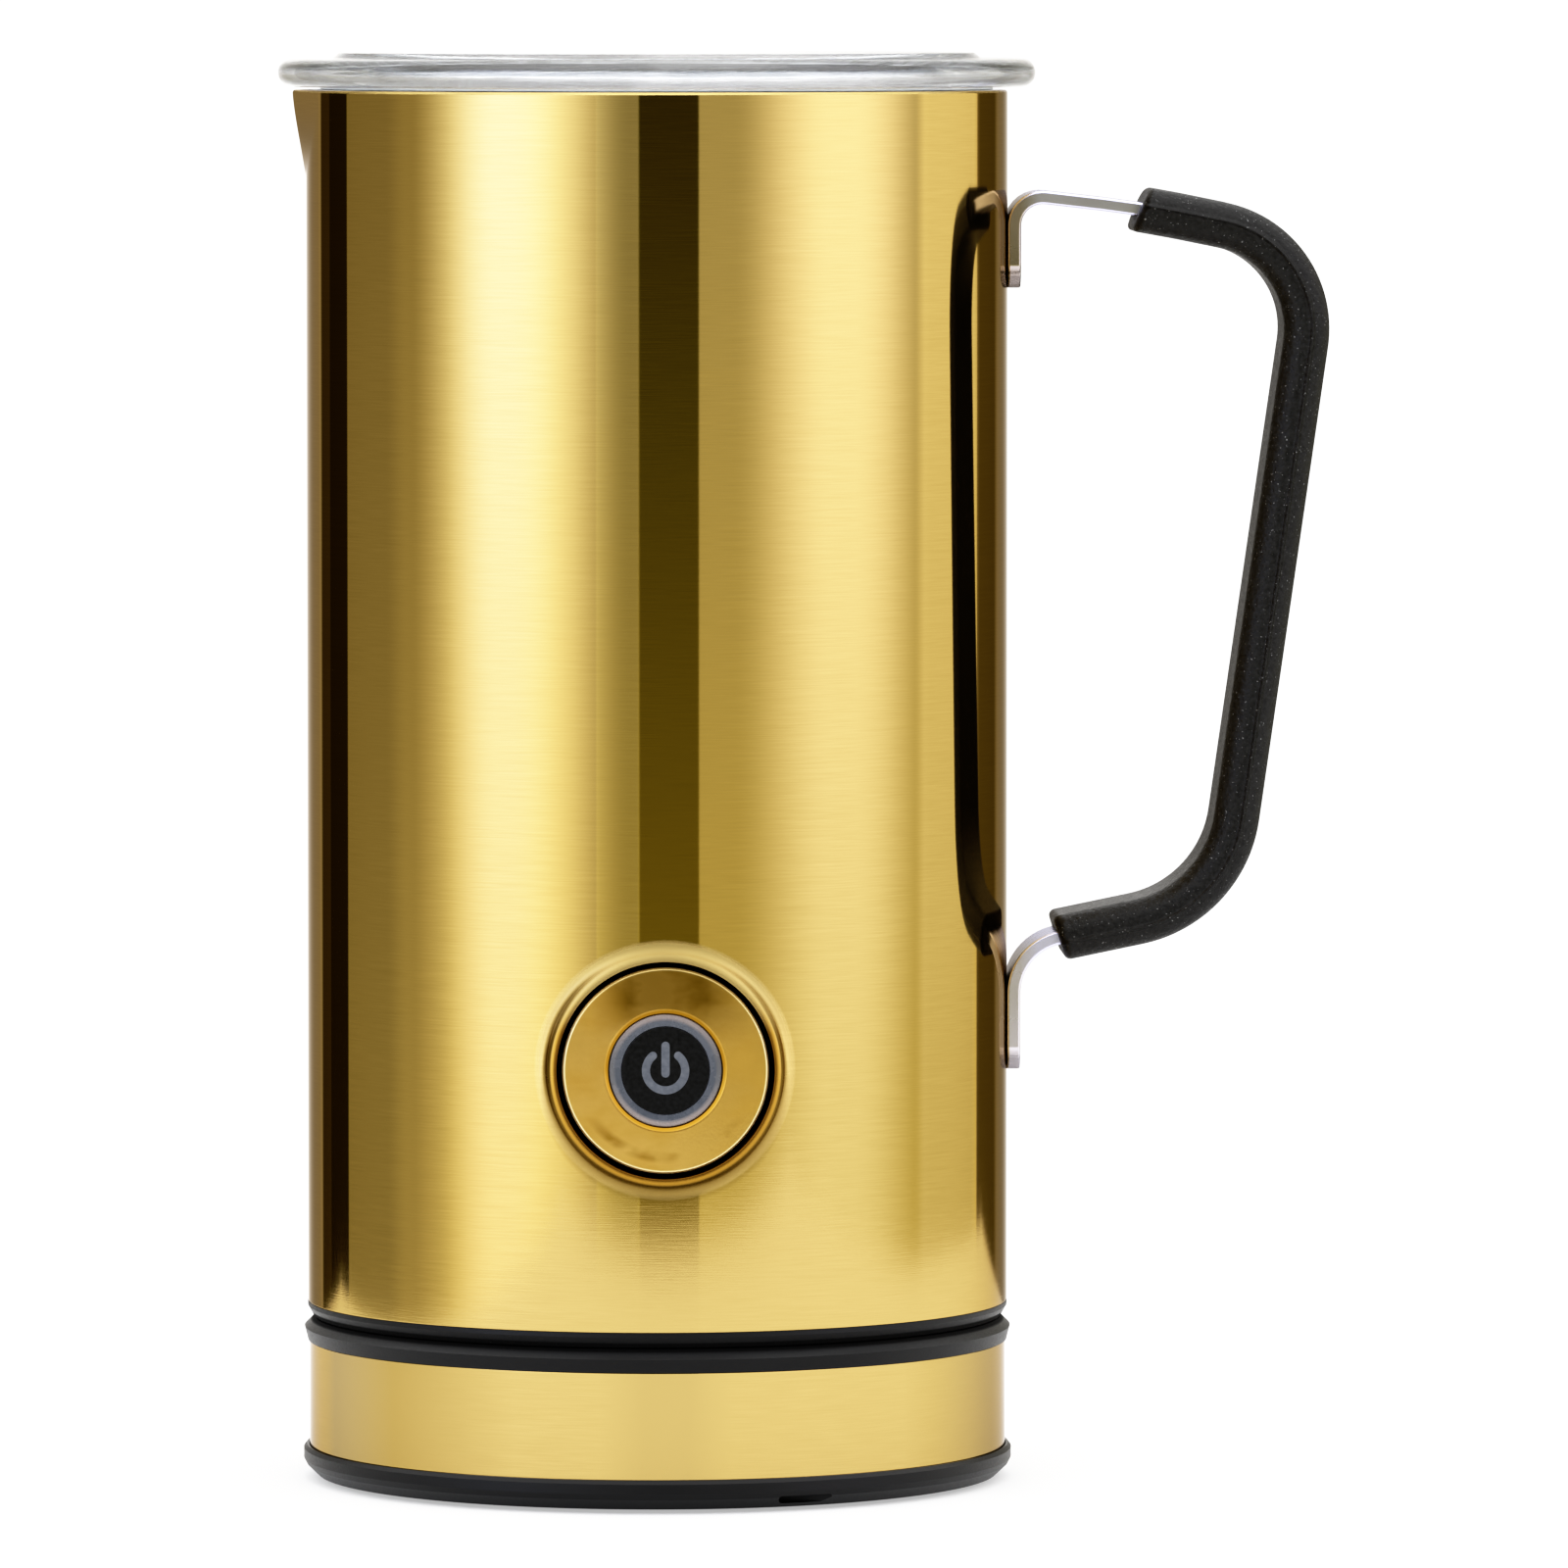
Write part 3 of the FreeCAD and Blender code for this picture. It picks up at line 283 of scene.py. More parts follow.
class Shader(Nodes):
    """A material with a Principled shader."""

    def __init__(self, name):
        self.material = bpy.data.materials.new(name)
        self.material.use_nodes = True
        super().__init__(self.material.node_tree)
        self.surface = self.add("ShaderNodeBsdfPrincipled")
        self.add("ShaderNodeOutputMaterial", Surface=self.surface.outputs[0])
        self.coordinates = self.add("ShaderNodeTexCoord").outputs["Object"]

    def noise(self, scale, detail=2.0, roughness=0.5):
        """Noise whose features are about 1/scale metres; scale may differ along x, y and z."""
        vector = self.coordinates
        if isinstance(scale, tuple):
            vector = self.add("ShaderNodeMapping", Vector=vector, Scale=scale).outputs["Vector"]
            scale = 1.0
        shape = {"Scale": scale, "Detail": detail, "Roughness": roughness}
        return self.add("ShaderNodeTexNoise", Vector=vector, **shape).outputs["Fac"]

    def bump(self, height, depth, strength=1.0, **under):
        """Relief of a depth in millimetres, on top of another relief if its Normal is given."""
        node = self.add("ShaderNodeBump", Height=height, Strength=strength, Distance=depth * MM, **under)
        return node.outputs["Normal"]

    def from_button(self):
        """Sideways, upward and straight distance from the button's axis, and depth, in metres."""
        across, depth, height = self.split(self.coordinates)
        up = self.math("SUBTRACT", height, button_height * MM)
        square = self.math("ADD", self.times(across, across), self.times(up, up))
        return across, up, self.math("SQRT", square), depth

    def finish(self, **inputs):
        """Sets the Principled shader's inputs and gives back the material."""
        for key, value in inputs.items():
            self.put(self.surface.inputs[key.replace("_", " ")], value)
        return self.material


def colour(value):
    """A shade as red, green, blue, alpha; a socket stays a socket."""
    if isinstance(value, bpy.types.NodeSocket):
        return value
    return tuple(value) + (1.0,) * (4 - len(value))


def collar_painted_light(shader, tint, rough):
    """Painted shade and painted reflections on the gold round the button's collar, which mirrors its own
    recess, and duller gold there: a dark band below and beside it, an orange-brown lip, a dark inner edge
    and a lighter painted highlight on its top.
    """
    _, up, radius, depth = shader.from_button()
    front = shader.spread(depth, -0.030, -0.028, 1.0, 0.0)
    near = shader.times(shader.spread(radius, 16.6 * MM, 17.4 * MM, 1.0, 0.0), front)
    dull = shader.times(near, shader.spread(up, -2 * MM, 6 * MM, 0.20, 0.36))
    reach = shader.spread(up, 4 * MM, -12 * MM, 0.5 * MM, 2.6 * MM)
    fall = shader.math("DIVIDE", shader.math("SUBTRACT", radius, 15.4 * MM), reach)
    # painted shade: a dark band just outside the collar, widest below it and none on top
    painted_collar_shade = shader.times(
        shader.spread(fall, 0.0, 1.0, 0.9, 0.0), shader.spread(fall, -0.3, 0.0),
        shader.spread(up, 4 * MM, 12 * MM, 1.0, 0.0), front,
    )
    # painted reflection: an orange-brown lip round the collar, but not on its top
    painted_lip_reflection = shader.times(
        shader.spread(radius, 15.1 * MM, 15.4 * MM, 0.8, 0.0), front,
        shader.spread(up, 5 * MM, 12 * MM, 1.0, 0.0),
    )
    # painted shade: a dark edge on the opening's wall, fainter on top
    inner = shader.times(
        shader.spread(radius, 14.55 * MM, 14.95 * MM, 0.85, 0.0), front,
        shader.spread(up, 6 * MM, 12 * MM, 1.0, 0.3),
    )
    # painted highlight: lighter gold on the top of the collar
    painted_top_highlight = shader.times(near, shader.spread(up, 5 * MM, 11 * MM, 0.0, 0.8))
    tint = shader.blend(painted_collar_shade, tint, (0.11, 0.066, 0.008))
    tint = shader.blend(painted_lip_reflection, tint, (0.40, 0.225, 0.035))
    tint = shader.blend(inner, tint, (0.10, 0.045, 0.008))
    tint = shader.blend(painted_top_highlight, tint, (0.44, 0.345, 0.155))
    return tint, shader.math("ADD", rough, dull)


def band_painted_reflections(shader, tint, rough):
    """Painted reflections on the base's band: deeper gold at its two sides and in its middle."""
    across = shader.split(shader.coordinates)[0]
    apart = shader.math("ABSOLUTE", across)
    # painted reflections: deeper gold towards the left and right sides
    left = shader.times(
        shader.spread(across, -20 * MM, -36 * MM), shader.spread(across, -45.8 * MM, -43.8 * MM),
    )
    right = shader.times(
        shader.spread(across, 32 * MM, 43.5 * MM, 0.0, 0.8),
        shader.spread(across, 44.8 * MM, 46.8 * MM, 1.0, 0.4),
    )
    side = shader.spread(apart, 36 * MM, 44 * MM)
    side = shader.blend(side, (0.385, 0.28, 0.105), (0.385, 0.305, 0.165))
    tint = shader.blend(shader.math("MAXIMUM", left, right), tint, side)
    # painted reflection: deeper gold down the middle
    tint = shader.blend(shader.spread(apart, 3 * MM, 9 * MM, 1.0, 0.0), tint, (0.47, 0.35, 0.145))
    return tint, rough


def brushed_gold(name, painted_shades):
    """PVD gold steel, brushed round the jug, so that its highlights stretch up and down; the function it is
    given paints shade and reflections onto the gold.
    """
    shader = Shader(name)
    lines = shader.noise((150, 150, 7200), 3.0)
    cloud = shader.noise(18)
    tint = shader.blend(shader.spread(lines, 0.3, 0.7), (0.495, 0.367, 0.150), (0.55, 0.408, 0.172))
    tint = shader.blend(shader.spread(cloud, 0.35, 0.7, 0.0, 0.35), tint, (0.51, 0.372, 0.145))
    # painted shade and painted reflections from the given function
    tint, rough = painted_shades(shader, tint, shader.spread(lines, 0.25, 0.75, 0.044, 0.056))
    tangent = shader.add("ShaderNodeTangent", {"direction_type": "RADIAL", "axis": "Z"})
    return shader.finish(
        Metallic=1.0, Base_Color=tint, Roughness=rough, Specular_Tint=(0.60, 0.55, 0.50, 1.0),
        Anisotropic=1.0, Anisotropic_Rotation=0.25, Tangent=tangent.outputs["Tangent"],
        Normal=shader.bump(lines, 0.0014),
    )


def satin_gold():
    """The same coating on the button, satin, with random smudges; painted reflections darken it towards the
    right, at the top and along an arc low down, painted shade darkens its inner rim, and a painted
    highlight runs along its outer edge, fainter on top.
    """
    shader = Shader("gold_satin")
    across, up, radius, _ = shader.from_button()
    speck = shader.noise(2600)
    smudge_and_shade_mottle = shader.noise((130, 130, 210), 3.0)
    tint = shader.blend(shader.spread(smudge_and_shade_mottle, 0.38, 0.64), (0.70, 0.475, 0.165), (0.58, 0.375, 0.105))
    # painted reflection: darker towards the right
    tint = shader.blend(shader.spread(across, -6 * MM, 12 * MM, 0.0, 0.5), tint, (0.52, 0.35, 0.09))
    side = shader.math("ABSOLUTE", shader.math("ADD", across, -0.5 * MM))
    # painted reflection: a mottled dark patch at the top, not wear from handling
    top = shader.times(
        shader.spread(up, 3.5 * MM, 9 * MM), shader.spread(side, 5 * MM, 10.5 * MM, 1.0, 0.0),
        shader.spread(smudge_and_shade_mottle, 0.38, 0.58, 0.62, 1.0),
    )
    tint = shader.blend(top, tint, (0.19, 0.112, 0.012))
    # painted reflection: a darker arc low down
    off_arc = shader.math("ABSOLUTE", shader.math("SUBTRACT", radius, 11.5 * MM))
    arc = shader.times(
        shader.spread(off_arc, 0.2 * MM, 0.9 * MM, 1.0, 0.0),
        shader.spread(up, -9 * MM, -6 * MM, 0.95, 0.0), shader.spread(smudge_and_shade_mottle, 0.4, 0.55),
    )
    tint = shader.blend(arc, tint, (0.37, 0.23, 0.045))
    # painted highlight along the outer edge, fainter on top
    edge = shader.spread(radius, (cap_radius - 0.50) * MM, (cap_radius - 0.30) * MM)
    painted_highlight_fade = shader.spread(up, 4 * MM, 11 * MM, 1.0, 0.3)
    tint = shader.blend(shader.times(edge, painted_highlight_fade), tint, (1.0, 0.86, 0.5))
    # painted shade on the inner rim
    painted_rim_shade = shader.spread(radius, 7.9 * MM, 8.3 * MM, 0.95, 0.0)
    return shader.finish(
        Metallic=1.0, Base_Color=shader.blend(painted_rim_shade, tint, (0.30, 0.165, 0.02)),
        Roughness=shader.spread(smudge_and_shade_mottle, 0.35, 0.7, 0.28, 0.36), Normal=shader.bump(speck, 0.006),
    )


def moulded_black(name, shade=0.008, roughness=0.38, painted_shade_groove=None):
    """Black injection-moulded plastic with a very fine spark texture; between a groove's heights it is
    duller and darker, a painted shade.
    """
    shader = Shader(name)
    grain = shader.noise(3200, 3.0)
    patch = shader.noise(60)
    low = (shade * 0.85, shade * 0.86, shade * 0.9)
    base = shader.blend(patch, low, (shade * 1.2, shade * 1.2, shade * 1.25))
    rough = shader.spread(grain, 0.3, 0.7, roughness - 0.04, roughness + 0.06)
    # painted shade: darker and duller between the groove's heights
    if painted_shade_groove:
        height = shader.split(shader.coordinates)[2]
        inside = shader.times(
            shader.spread(height, painted_shade_groove[0] * MM, (painted_shade_groove[0] + 0.25) * MM),
            shader.spread(height, (painted_shade_groove[1] - 0.25) * MM, painted_shade_groove[1] * MM, 1.0, 0.0),
        )
        base = shader.blend(inside, base, (0.0015, 0.0014, 0.0012))
        rough = shader.math("ADD", rough, shader.times(inside, 0.5))
    return shader.finish(
        Base_Color=base, Roughness=rough, Normal=shader.bump(grain, 0.010), Specular_IOR_Level=0.30,
    )


def silicone_black():
    """Matt black silicone with dust specks, a fine grain and the faint waviness of a soft moulding."""
    shader = Shader("silicone")
    wave = shader.noise(220)
    grain = shader.noise(1700, 3.0)
    dust = shader.spread(shader.noise(3600, 1.0), 0.705, 0.76)
    base = shader.blend(shader.spread(grain, 0.35, 0.7), (0.0055, 0.005, 0.0048), (0.016, 0.0155, 0.015))
    return shader.finish(
        Base_Color=shader.blend(dust, base, (0.20, 0.20, 0.20)),
        Roughness=shader.spread(grain, 0.3, 0.7, 0.42, 0.58),
        Normal=shader.bump(grain, 0.16, Normal=shader.bump(wave, 0.10, 0.35)), Specular_IOR_Level=0.32,
    )


def steel(name, stretch, shade, roughness, cool=1.0, edge=1.0, tab_painted_shade=None):
    """Stainless steel with a brushed grain stretched along one direction.

    edge under 1 dulls grazing light; the last argument gives the colours painted on the strap's welded
    tabs, the low one's and the high one's: painted shade, warmer on the low one as a painted reflection of
    the gold wall.
    """
    shader = Shader(name)
    grain = shader.noise(stretch, 3.0)
    cloud = shader.noise(50)
    low, high = shade * 0.95, shade * 1.04
    base = shader.blend(grain, (low, low, low * cool), (high, high, high * cool))
    # painted shade on the tabs against the wall, with a painted reflection of the gold on the low one
    if tab_painted_shade:
        out, _, height = shader.split(shader.coordinates)
        painted_shades = shader.blend(shader.spread(height, 90 * MM, 150 * MM), *tab_painted_shade)
        base = shader.blend(shader.spread(out, 49.0 * MM, 51.5 * MM, 1.0, 0.0), base, painted_shades)
    streak = shader.spread(grain, 0.3, 0.7, -0.03, 0.03)
    rough = shader.spread(cloud, 0.3, 0.7, roughness, roughness + 0.04)
    return shader.finish(
        Metallic=1.0, Base_Color=base, Roughness=shader.math("ADD", streak, rough),
        Normal=shader.bump(grain, 0.006), Specular_Tint=(edge, edge, edge, 1.0),
    )


def clear_plastic():
    """Clear polished lid plastic, with moulding flow lines that ripple its reflections."""
    shader = Shader("clear_plastic")
    flow = shader.noise((26, 26, 1900), 3.0, 0.6)
    ripple = shader.noise(90)
    tint = shader.blend(shader.spread(flow, 0.36, 0.46), (0.50, 0.54, 0.64), (0.91, 0.945, 1.0))
    tint = shader.blend(shader.spread(ripple, 0.4, 0.7, 0.0, 0.5), tint, (0.88, 0.92, 0.99))
    return shader.finish(
        Base_Color=tint, Transmission_Weight=1.0, Roughness=shader.spread(flow, 0.3, 0.7, 0.015, 0.05),
        IOR=1.47, Alpha=0.8, Normal=shader.bump(flow, 0.05, 0.8, Normal=shader.bump(ripple, 0.35, 0.5)),
    )


def coloured(name, first, second, scale, roughness, metallic=0.0, bump=0.01, shine=0.5):
    """A plain finish with fine variation of colour, gloss and relief."""
    shader = Shader(name)
    grain = shader.noise(scale, 3.0)
    return shader.finish(
        Metallic=metallic, Base_Color=shader.blend(shader.spread(grain, 0.3, 0.7), first, second),
        Roughness=shader.spread(grain, 0.3, 0.7, roughness - 0.04, roughness + 0.06),
        Normal=shader.bump(grain, bump), Specular_IOR_Level=shine,
    )


def light_guide():
    """The unlit light ring: grey translucent plastic, darker on its inner half, with a lighter, warmer
    painted highlight on its outer half above and below its middle.
    """
    shader = Shader("light_guide")
    _, up, radius, _ = shader.from_button()
    grain = shader.noise(900)
    # painted highlight: the outer half lighter and warmer above and below the middle
    level = shader.spread(shader.math("ABSOLUTE", up), 1.5 * MM, 6 * MM)
    outer = shader.blend(level, (0.115, 0.115, 0.12), (0.25, 0.215, 0.20))
    tone = shader.blend(shader.spread(radius, 6.55 * MM, 7.0 * MM), (0.080, 0.088, 0.104), outer)
    return shader.finish(
        Base_Color=shader.blend(shader.spread(grain, 0.3, 0.7, 0.0, 0.2), tone, (0.14, 0.14, 0.155)),
        Roughness=shader.spread(grain, 0.3, 0.7, 0.22, 0.32), Subsurface_Weight=0.15,
        Subsurface_Radius=(0.0015, 0.0015, 0.0015), Subsurface_Scale=1.0,
    )


gold = brushed_gold("gold_brushed", collar_painted_light)
band_gold = brushed_gold("gold_band", band_painted_reflections)
gold_button = satin_gold()
black = moulded_black("black_moulded", painted_shade_groove=(21.45, 22.95))
black_inside = moulded_black("black_inside", 0.03, 0.5)
silicone = silicone_black()
strap_steel = steel(
    "strap_steel", (60, 1800, 60), 0.73, 0.26, 1.30, 0.35, ((0.66, 0.63, 0.68), (0.50, 0.445, 0.43)),
)
cup_steel = steel("cup_steel", (60, 60, 2600), 0.55, 0.24)
wire_steel = steel("wire_steel", (1800, 1800, 1800), 0.6, 0.18)
zinc = steel("zinc_steel", (900, 900, 900), 0.5, 0.3)
clear = clear_plastic()
guide = light_guide()
disc_black = coloured(
    "disc_black", (0.003, 0.003, 0.0035), (0.009, 0.009, 0.0095), 1900, 0.34, bump=0.012, shine=0.3,
)
icon_grey = coloured("icon_grey", (0.085, 0.092, 0.108), (0.12, 0.128, 0.145), 1500, 0.35)
foot_rubber = coloured("foot_rubber", (0.02, 0.02, 0.02), (0.035, 0.035, 0.034), 1400, 0.7, bump=0.03)
seal_clear = coloured("seal_silicone", (0.55, 0.56, 0.56), (0.62, 0.63, 0.63), 700, 0.35)


# ------ jug shell

COLUMN = 1.25  # degrees from one column of the wall to the next
BUTTON_REACH = 19  # columns from the button's middle to the edge of the square patch round it
OPENING_RADIUS, COLLAR_RADIUS, COLLAR_FRONT = 14.4, 15.7, cap_front + 0.1
LIP, CREST, FILLET = 0.22, 1.05, 1.8  # the collar's roundings, from the opening outwards
FILLET_STEPS = 8
SPOUT_DROP = 12.0
TOP_ROUND, EDGE_ROUND = 0.45, 0.15  # the wall's outer top edge, and its other edges
half_patch = math.radians(COLUMN * BUTTON_REACH) * shell_radius


def spout_reach(z):
    """How far the spout's edge stands out of the cylinder at a height."""
    t = np.clip((shell_top - z) / SPOUT_DROP, 0.0, 1.0)
    return (spout_tip - shell_radius) * (1 - 1.35 * t ** 1.5 + 0.35 * t ** 3)


def wall_radius(theta, z, inset):
    """Radius of the shell: a cylinder, with the spout's two flat cheeks on the -X side."""
    tip_round, root_round = 0.006, 0.012
    away = np.sqrt(((theta % (2 * math.pi)) - math.pi) ** 2 + tip_round ** 2)
    reach = np.arccos(shell_radius / (shell_radius + spout_reach(z) + 1e-9))
    bend = 0.5 * (reach - away + np.sqrt((reach - away) ** 2 + root_round ** 2)) - 0.0001
    bend = np.where(reach < 1e-3, 0.0, np.maximum(bend * np.minimum(1.0, reach / 0.02), 0.0))
    return shell_radius / np.cos(bend) - inset


def wall_point(theta, z, inset):
    radius = wall_radius(theta, z, inset)
    return np.stack([radius * np.cos(theta), radius * np.sin(theta), z], axis=-1)


def wall_normal(theta, z):
    turn, rise = 1e-3, 0.02
    along = wall_point(theta + turn, z, 0.0) - wall_point(theta - turn, z, 0.0)
    up = wall_point(theta, z + rise, 0.0) - wall_point(theta, z - rise, 0.0)
    normal = np.cross(along, up)
    return normal / np.linalg.norm(normal, axis=-1, keepdims=True)


def collar_profile(phi):
    """From the opening's wall over the collar's crest and down its fillet, in one direction round it."""
    def wall(r):
        depth = math.sqrt(shell_radius ** 2 - (r * math.cos(phi)) ** 2)
        slope = -r * math.cos(phi) ** 2 / depth
        length = math.hypot(1.0, slope)
        return depth, (-slope / length, 1.0 / length)

    def fillet_centre(r):
        depth, normal = wall(r)
        return r + FILLET * normal[0], depth + FILLET * normal[1]

    def solve(gap):
        low, high = COLLAR_RADIUS - CREST, COLLAR_RADIUS + FILLET + 0.5
        for _ in range(40):
            middle = (low + high) / 2
            low, high = (low, middle) if gap(fillet_centre(middle)) > 0 else (middle, high)
        return (low + high) / 2

    def rounding(centre, radius, start, finish, steps, side=1):
        """Adds points and normals along an arc; side -1 is for a hollow one."""
        for k in range(steps + 1):
            angle = start + (finish - start) * k / steps
            n = (math.cos(angle), math.sin(angle))
            points.append((centre[0] + side * radius * n[0], centre[1] + side * radius * n[1], n[0], n[1]))

    top = (COLLAR_RADIUS - CREST, COLLAR_FRONT - CREST)
    end = solve(lambda centre: centre[0] - COLLAR_RADIUS - FILLET)
    meeting = 0.0
    if fillet_centre(end)[1] > top[1]:
        end = solve(lambda centre: math.dist(centre, top) - CREST - FILLET)
        centre = fillet_centre(end)
        meeting = math.atan2(centre[1] - top[1], centre[0] - top[0])
    inside = math.sqrt(inner_radius ** 2 - (OPENING_RADIUS * math.cos(phi)) ** 2)
    points = [(OPENING_RADIUS, inside, -1.0, 0.0)]
    rounding((OPENING_RADIUS + LIP, COLLAR_FRONT - LIP), LIP, math.pi, math.pi / 2, 5)
    rounding(top, CREST, math.pi / 2, meeting, 7)
    normal = wall(end)[1]
    finish = math.atan2(normal[1], normal[0])
    rounding(fillet_centre(end), FILLET, meeting, finish, FILLET_STEPS, -1)
    return points, end


def round_rows(height, inset, radius, degrees):
    """Rows of the wall round an edge: height, inset and the angle of the normal."""
    angles = [math.radians(d) for d in degrees]
    return [(height + radius * math.sin(a), inset - radius * math.cos(a), a) for a in angles]


def shell_mesh():
    """The jug's wall with its spout and both its faces, and a square patch that holds the collar."""
    columns = []
    for k in range(round(360 / COLUMN)):
        degrees = k * COLUMN
        parts = 3 if abs(degrees - 180 + 0.6) < 20 else 1
        columns += [degrees + COLUMN * p / parts for p in range(parts)]
    theta = np.radians(columns)
    first_column = columns.index(270 - COLUMN * BUTTON_REACH)
    patch = 2 * BUTTON_REACH
    patch_rows = button_height + np.linspace(-half_patch, half_patch, patch + 1)
    below = np.linspace(shell_foot + EDGE_ROUND, patch_rows[0], 6)[:-1]
    above = np.linspace(patch_rows[-1], shell_top - SPOUT_DROP - 1.5, 14)[1:]
    spout = np.linspace(above[-1], shell_top - TOP_ROUND, 34)[1:]
    rows = [(z, 0.0, 0.0) for z in np.concatenate([below, patch_rows, above, spout])]
    rows += round_rows(shell_top - TOP_ROUND, TOP_ROUND, TOP_ROUND, range(15, 91, 15))
    deep = SHEET - EDGE_ROUND
    rows += round_rows(shell_top - EDGE_ROUND, deep, EDGE_ROUND, np.arange(112.5, 181, 22.5))
    top_row = len(rows)
    inner = np.concatenate([spout, above, patch_rows, below])
    inner = np.sort(np.unique(np.round(inner, 6)))[::-1]
    inner = inner[inner < shell_top - 0.5]
    rows += [(z, SHEET, math.pi) for z in inner]
    rows += round_rows(shell_foot + EDGE_ROUND, deep, EDGE_ROUND, np.arange(202.5, 271, 22.5))
    rows += round_rows(shell_foot + EDGE_ROUND, EDGE_ROUND, EDGE_ROUND, np.arange(270, 338, 22.5))
    verts, normals = [], []
    for z, inset, angle in rows:
        height = np.full_like(theta, z)
        turned = wall_normal(theta, np.minimum(height, shell_top - 0.02)) * math.cos(angle)
        turned[:, 2] += math.sin(angle)
        verts.append(wall_point(theta, height, inset))
        normals.append(turned)
    verts = np.concatenate(verts)
    normals = np.concatenate(normals)
    count, low_outer = len(columns), len(below)
    high_inner = top_row + int(np.argmin(np.abs(inner - patch_rows[-1])))

    def in_patch(i, j):
        in_rows = low_outer <= i < low_outer + patch or high_inner <= i < high_inner + patch
        return first_column <= j < first_column + patch and in_rows

    faces = grid_faces(len(rows), count, in_patch)
    square = square_path(patch)
    outer_edge = [(low_outer + i) * count + first_column + j for i, j in square]
    inner_edge = [(high_inner + patch - i) * count + first_column + j for i, j in square]
    ring_points, ring_normals = [], []
    for i, j in square:
        s = shell_radius * math.radians(columns[first_column + j] - 270)
        rise = patch_rows[i] - button_height
        phi = math.atan2(rise, s)
        profile, end = collar_profile(phi)
        line, directions = [], []
        hold = math.asin(OPENING_RADIUS * math.cos(phi) / inner_radius)
        for t in (0.75, 0.5, 0.25, 0.0):
            a = hold + (s / shell_radius - hold) * t
            h = OPENING_RADIUS * math.sin(phi) * (1 - t) + rise * t
            line.append((inner_radius * math.sin(a), -inner_radius * math.cos(a), button_height + h))
            directions.append((-math.sin(a), math.cos(a), 0.0))
        for k, (r, d, nr, nd) in enumerate(profile):
            line.append((r * math.cos(phi), -d, button_height + r * math.sin(phi)))
            normal = np.array([nr * math.cos(phi), -nd, nr * math.sin(phi)])
            t = max(0.0, (k - len(profile) + 1 + FILLET_STEPS) / FILLET_STEPS)
            a = math.asin(r * math.cos(phi) / shell_radius)
            exact = np.array([math.sin(a), -math.cos(a), 0.0])
            directions.append(tuple(normal * (1 - t ** 2) + exact * t ** 2))
        start = math.asin(end * math.cos(phi) / shell_radius)
        for t in (0.3, 0.65):
            a = start + (s / shell_radius - start) * t
            h = end * math.sin(phi) * (1 - t) + rise * t
            line.append((shell_radius * math.sin(a), -shell_radius * math.cos(a), button_height + h))
            directions.append((math.sin(a), -math.cos(a), 0.0))
        ring_points.append(line)
        ring_normals.append(directions)
    base, segments = len(verts), len(square)
    verts = np.concatenate([verts, np.array(ring_points).transpose(1, 0, 2).reshape(-1, 3)])
    normals = np.concatenate([normals, np.array(ring_normals).transpose(1, 0, 2).reshape(-1, 3)])
    starts = range(base, len(verts), segments)
    strips = [inner_edge] + [list(range(k, k + segments)) for k in starts] + [outer_edge]
    return add_mesh("shell", verts, faces + strip_faces(strips, verts), normals)


piece(shell_mesh(), "jug", "gold_steel", gold, "jug_shell")


# ------ rings and base

GLAND_HOLE = 4.05  # radius of the hole for the cord gland
GLAND_PATCH = 4.7  # half the height of the square patch round it


def band_mesh():
    """The base's gold band: a thin tube with a round hole at the back for the cord gland."""
    outer, inner = band_high[0], band_high[0] - SHEET
    gland_low, gland_high = span("cord_gland")
    height = (gland_low[2] + gland_high[2]) / 2
    columns, patch = 256, 8
    theta = np.arange(columns) * 2 * math.pi / columns
    first = columns // 4 - patch // 2
    patch_rows = np.linspace(height - GLAND_PATCH, height + GLAND_PATCH, patch + 1)
    points, turned = outline([
        (inner, band_low[2], 0.1),
        (outer, band_low[2], 0.12),
        (outer, band_high[2], 0.12),
        (inner, band_high[2], 0.1),
    ])
    half = len(points) // 2
    rows = [(r, z, n, up) for (r, z), (n, up) in zip(points, turned)]
    rows = (
        rows[:half] + [(outer, z, 1.0, 0.0) for z in patch_rows]
        + rows[half:] + [(inner, z, -1.0, 0.0) for z in patch_rows[::-1]]
    )
    low_outer, high_inner = half, 2 * half + patch + 1
    verts = [(r * math.cos(a), r * math.sin(a), z) for r, z, _, _ in rows for a in theta]
    normals = [(n * math.cos(a), n * math.sin(a), up) for _, _, n, up in rows for a in theta]

    def in_patch(i, j):
        in_rows = low_outer <= i < low_outer + patch or high_inner <= i < high_inner + patch
        return first <= j < first + patch and in_rows

    faces = grid_faces(len(rows), columns, in_patch)
    square = square_path(patch)
    strips = [[(high_inner + patch - i) * columns + first + j for i, j in square]]
    aside = outer * (theta - math.pi / 2)
    turns = [math.atan2(patch_rows[i] - height, aside[first + j]) for i, j in square]
    # radius, side that the normals point to (0 is into the hole), and how far from hole to patch
    rings = ((inner, -1, 0), (inner, 0, 0), (outer, 0, 0), (outer, 1, 0), (outer, 1, 0.3), (outer, 1, 0.65))
    for radius, side, reach in rings:
        strips.append(list(range(len(verts), len(verts) + len(square))))
        for phi, (i, j) in zip(turns, square):
            x, rise = -GLAND_HOLE * math.cos(phi), GLAND_HOLE * math.sin(phi)
            x += reach * (outer * math.cos(theta[first + j]) - x)
            rise += reach * (patch_rows[i] - height - rise)
            depth = math.sqrt(radius ** 2 - x ** 2)
            verts.append((x, depth, height + rise))
            normals.append((side * x, side * depth, 0.0) if side else (-x, 0.0, -rise))
    strips.append([(low_outer + i) * columns + first + j for i, j in square])
    return add_mesh("base_gold_band", verts, faces + strip_faces(strips, verts), normals)


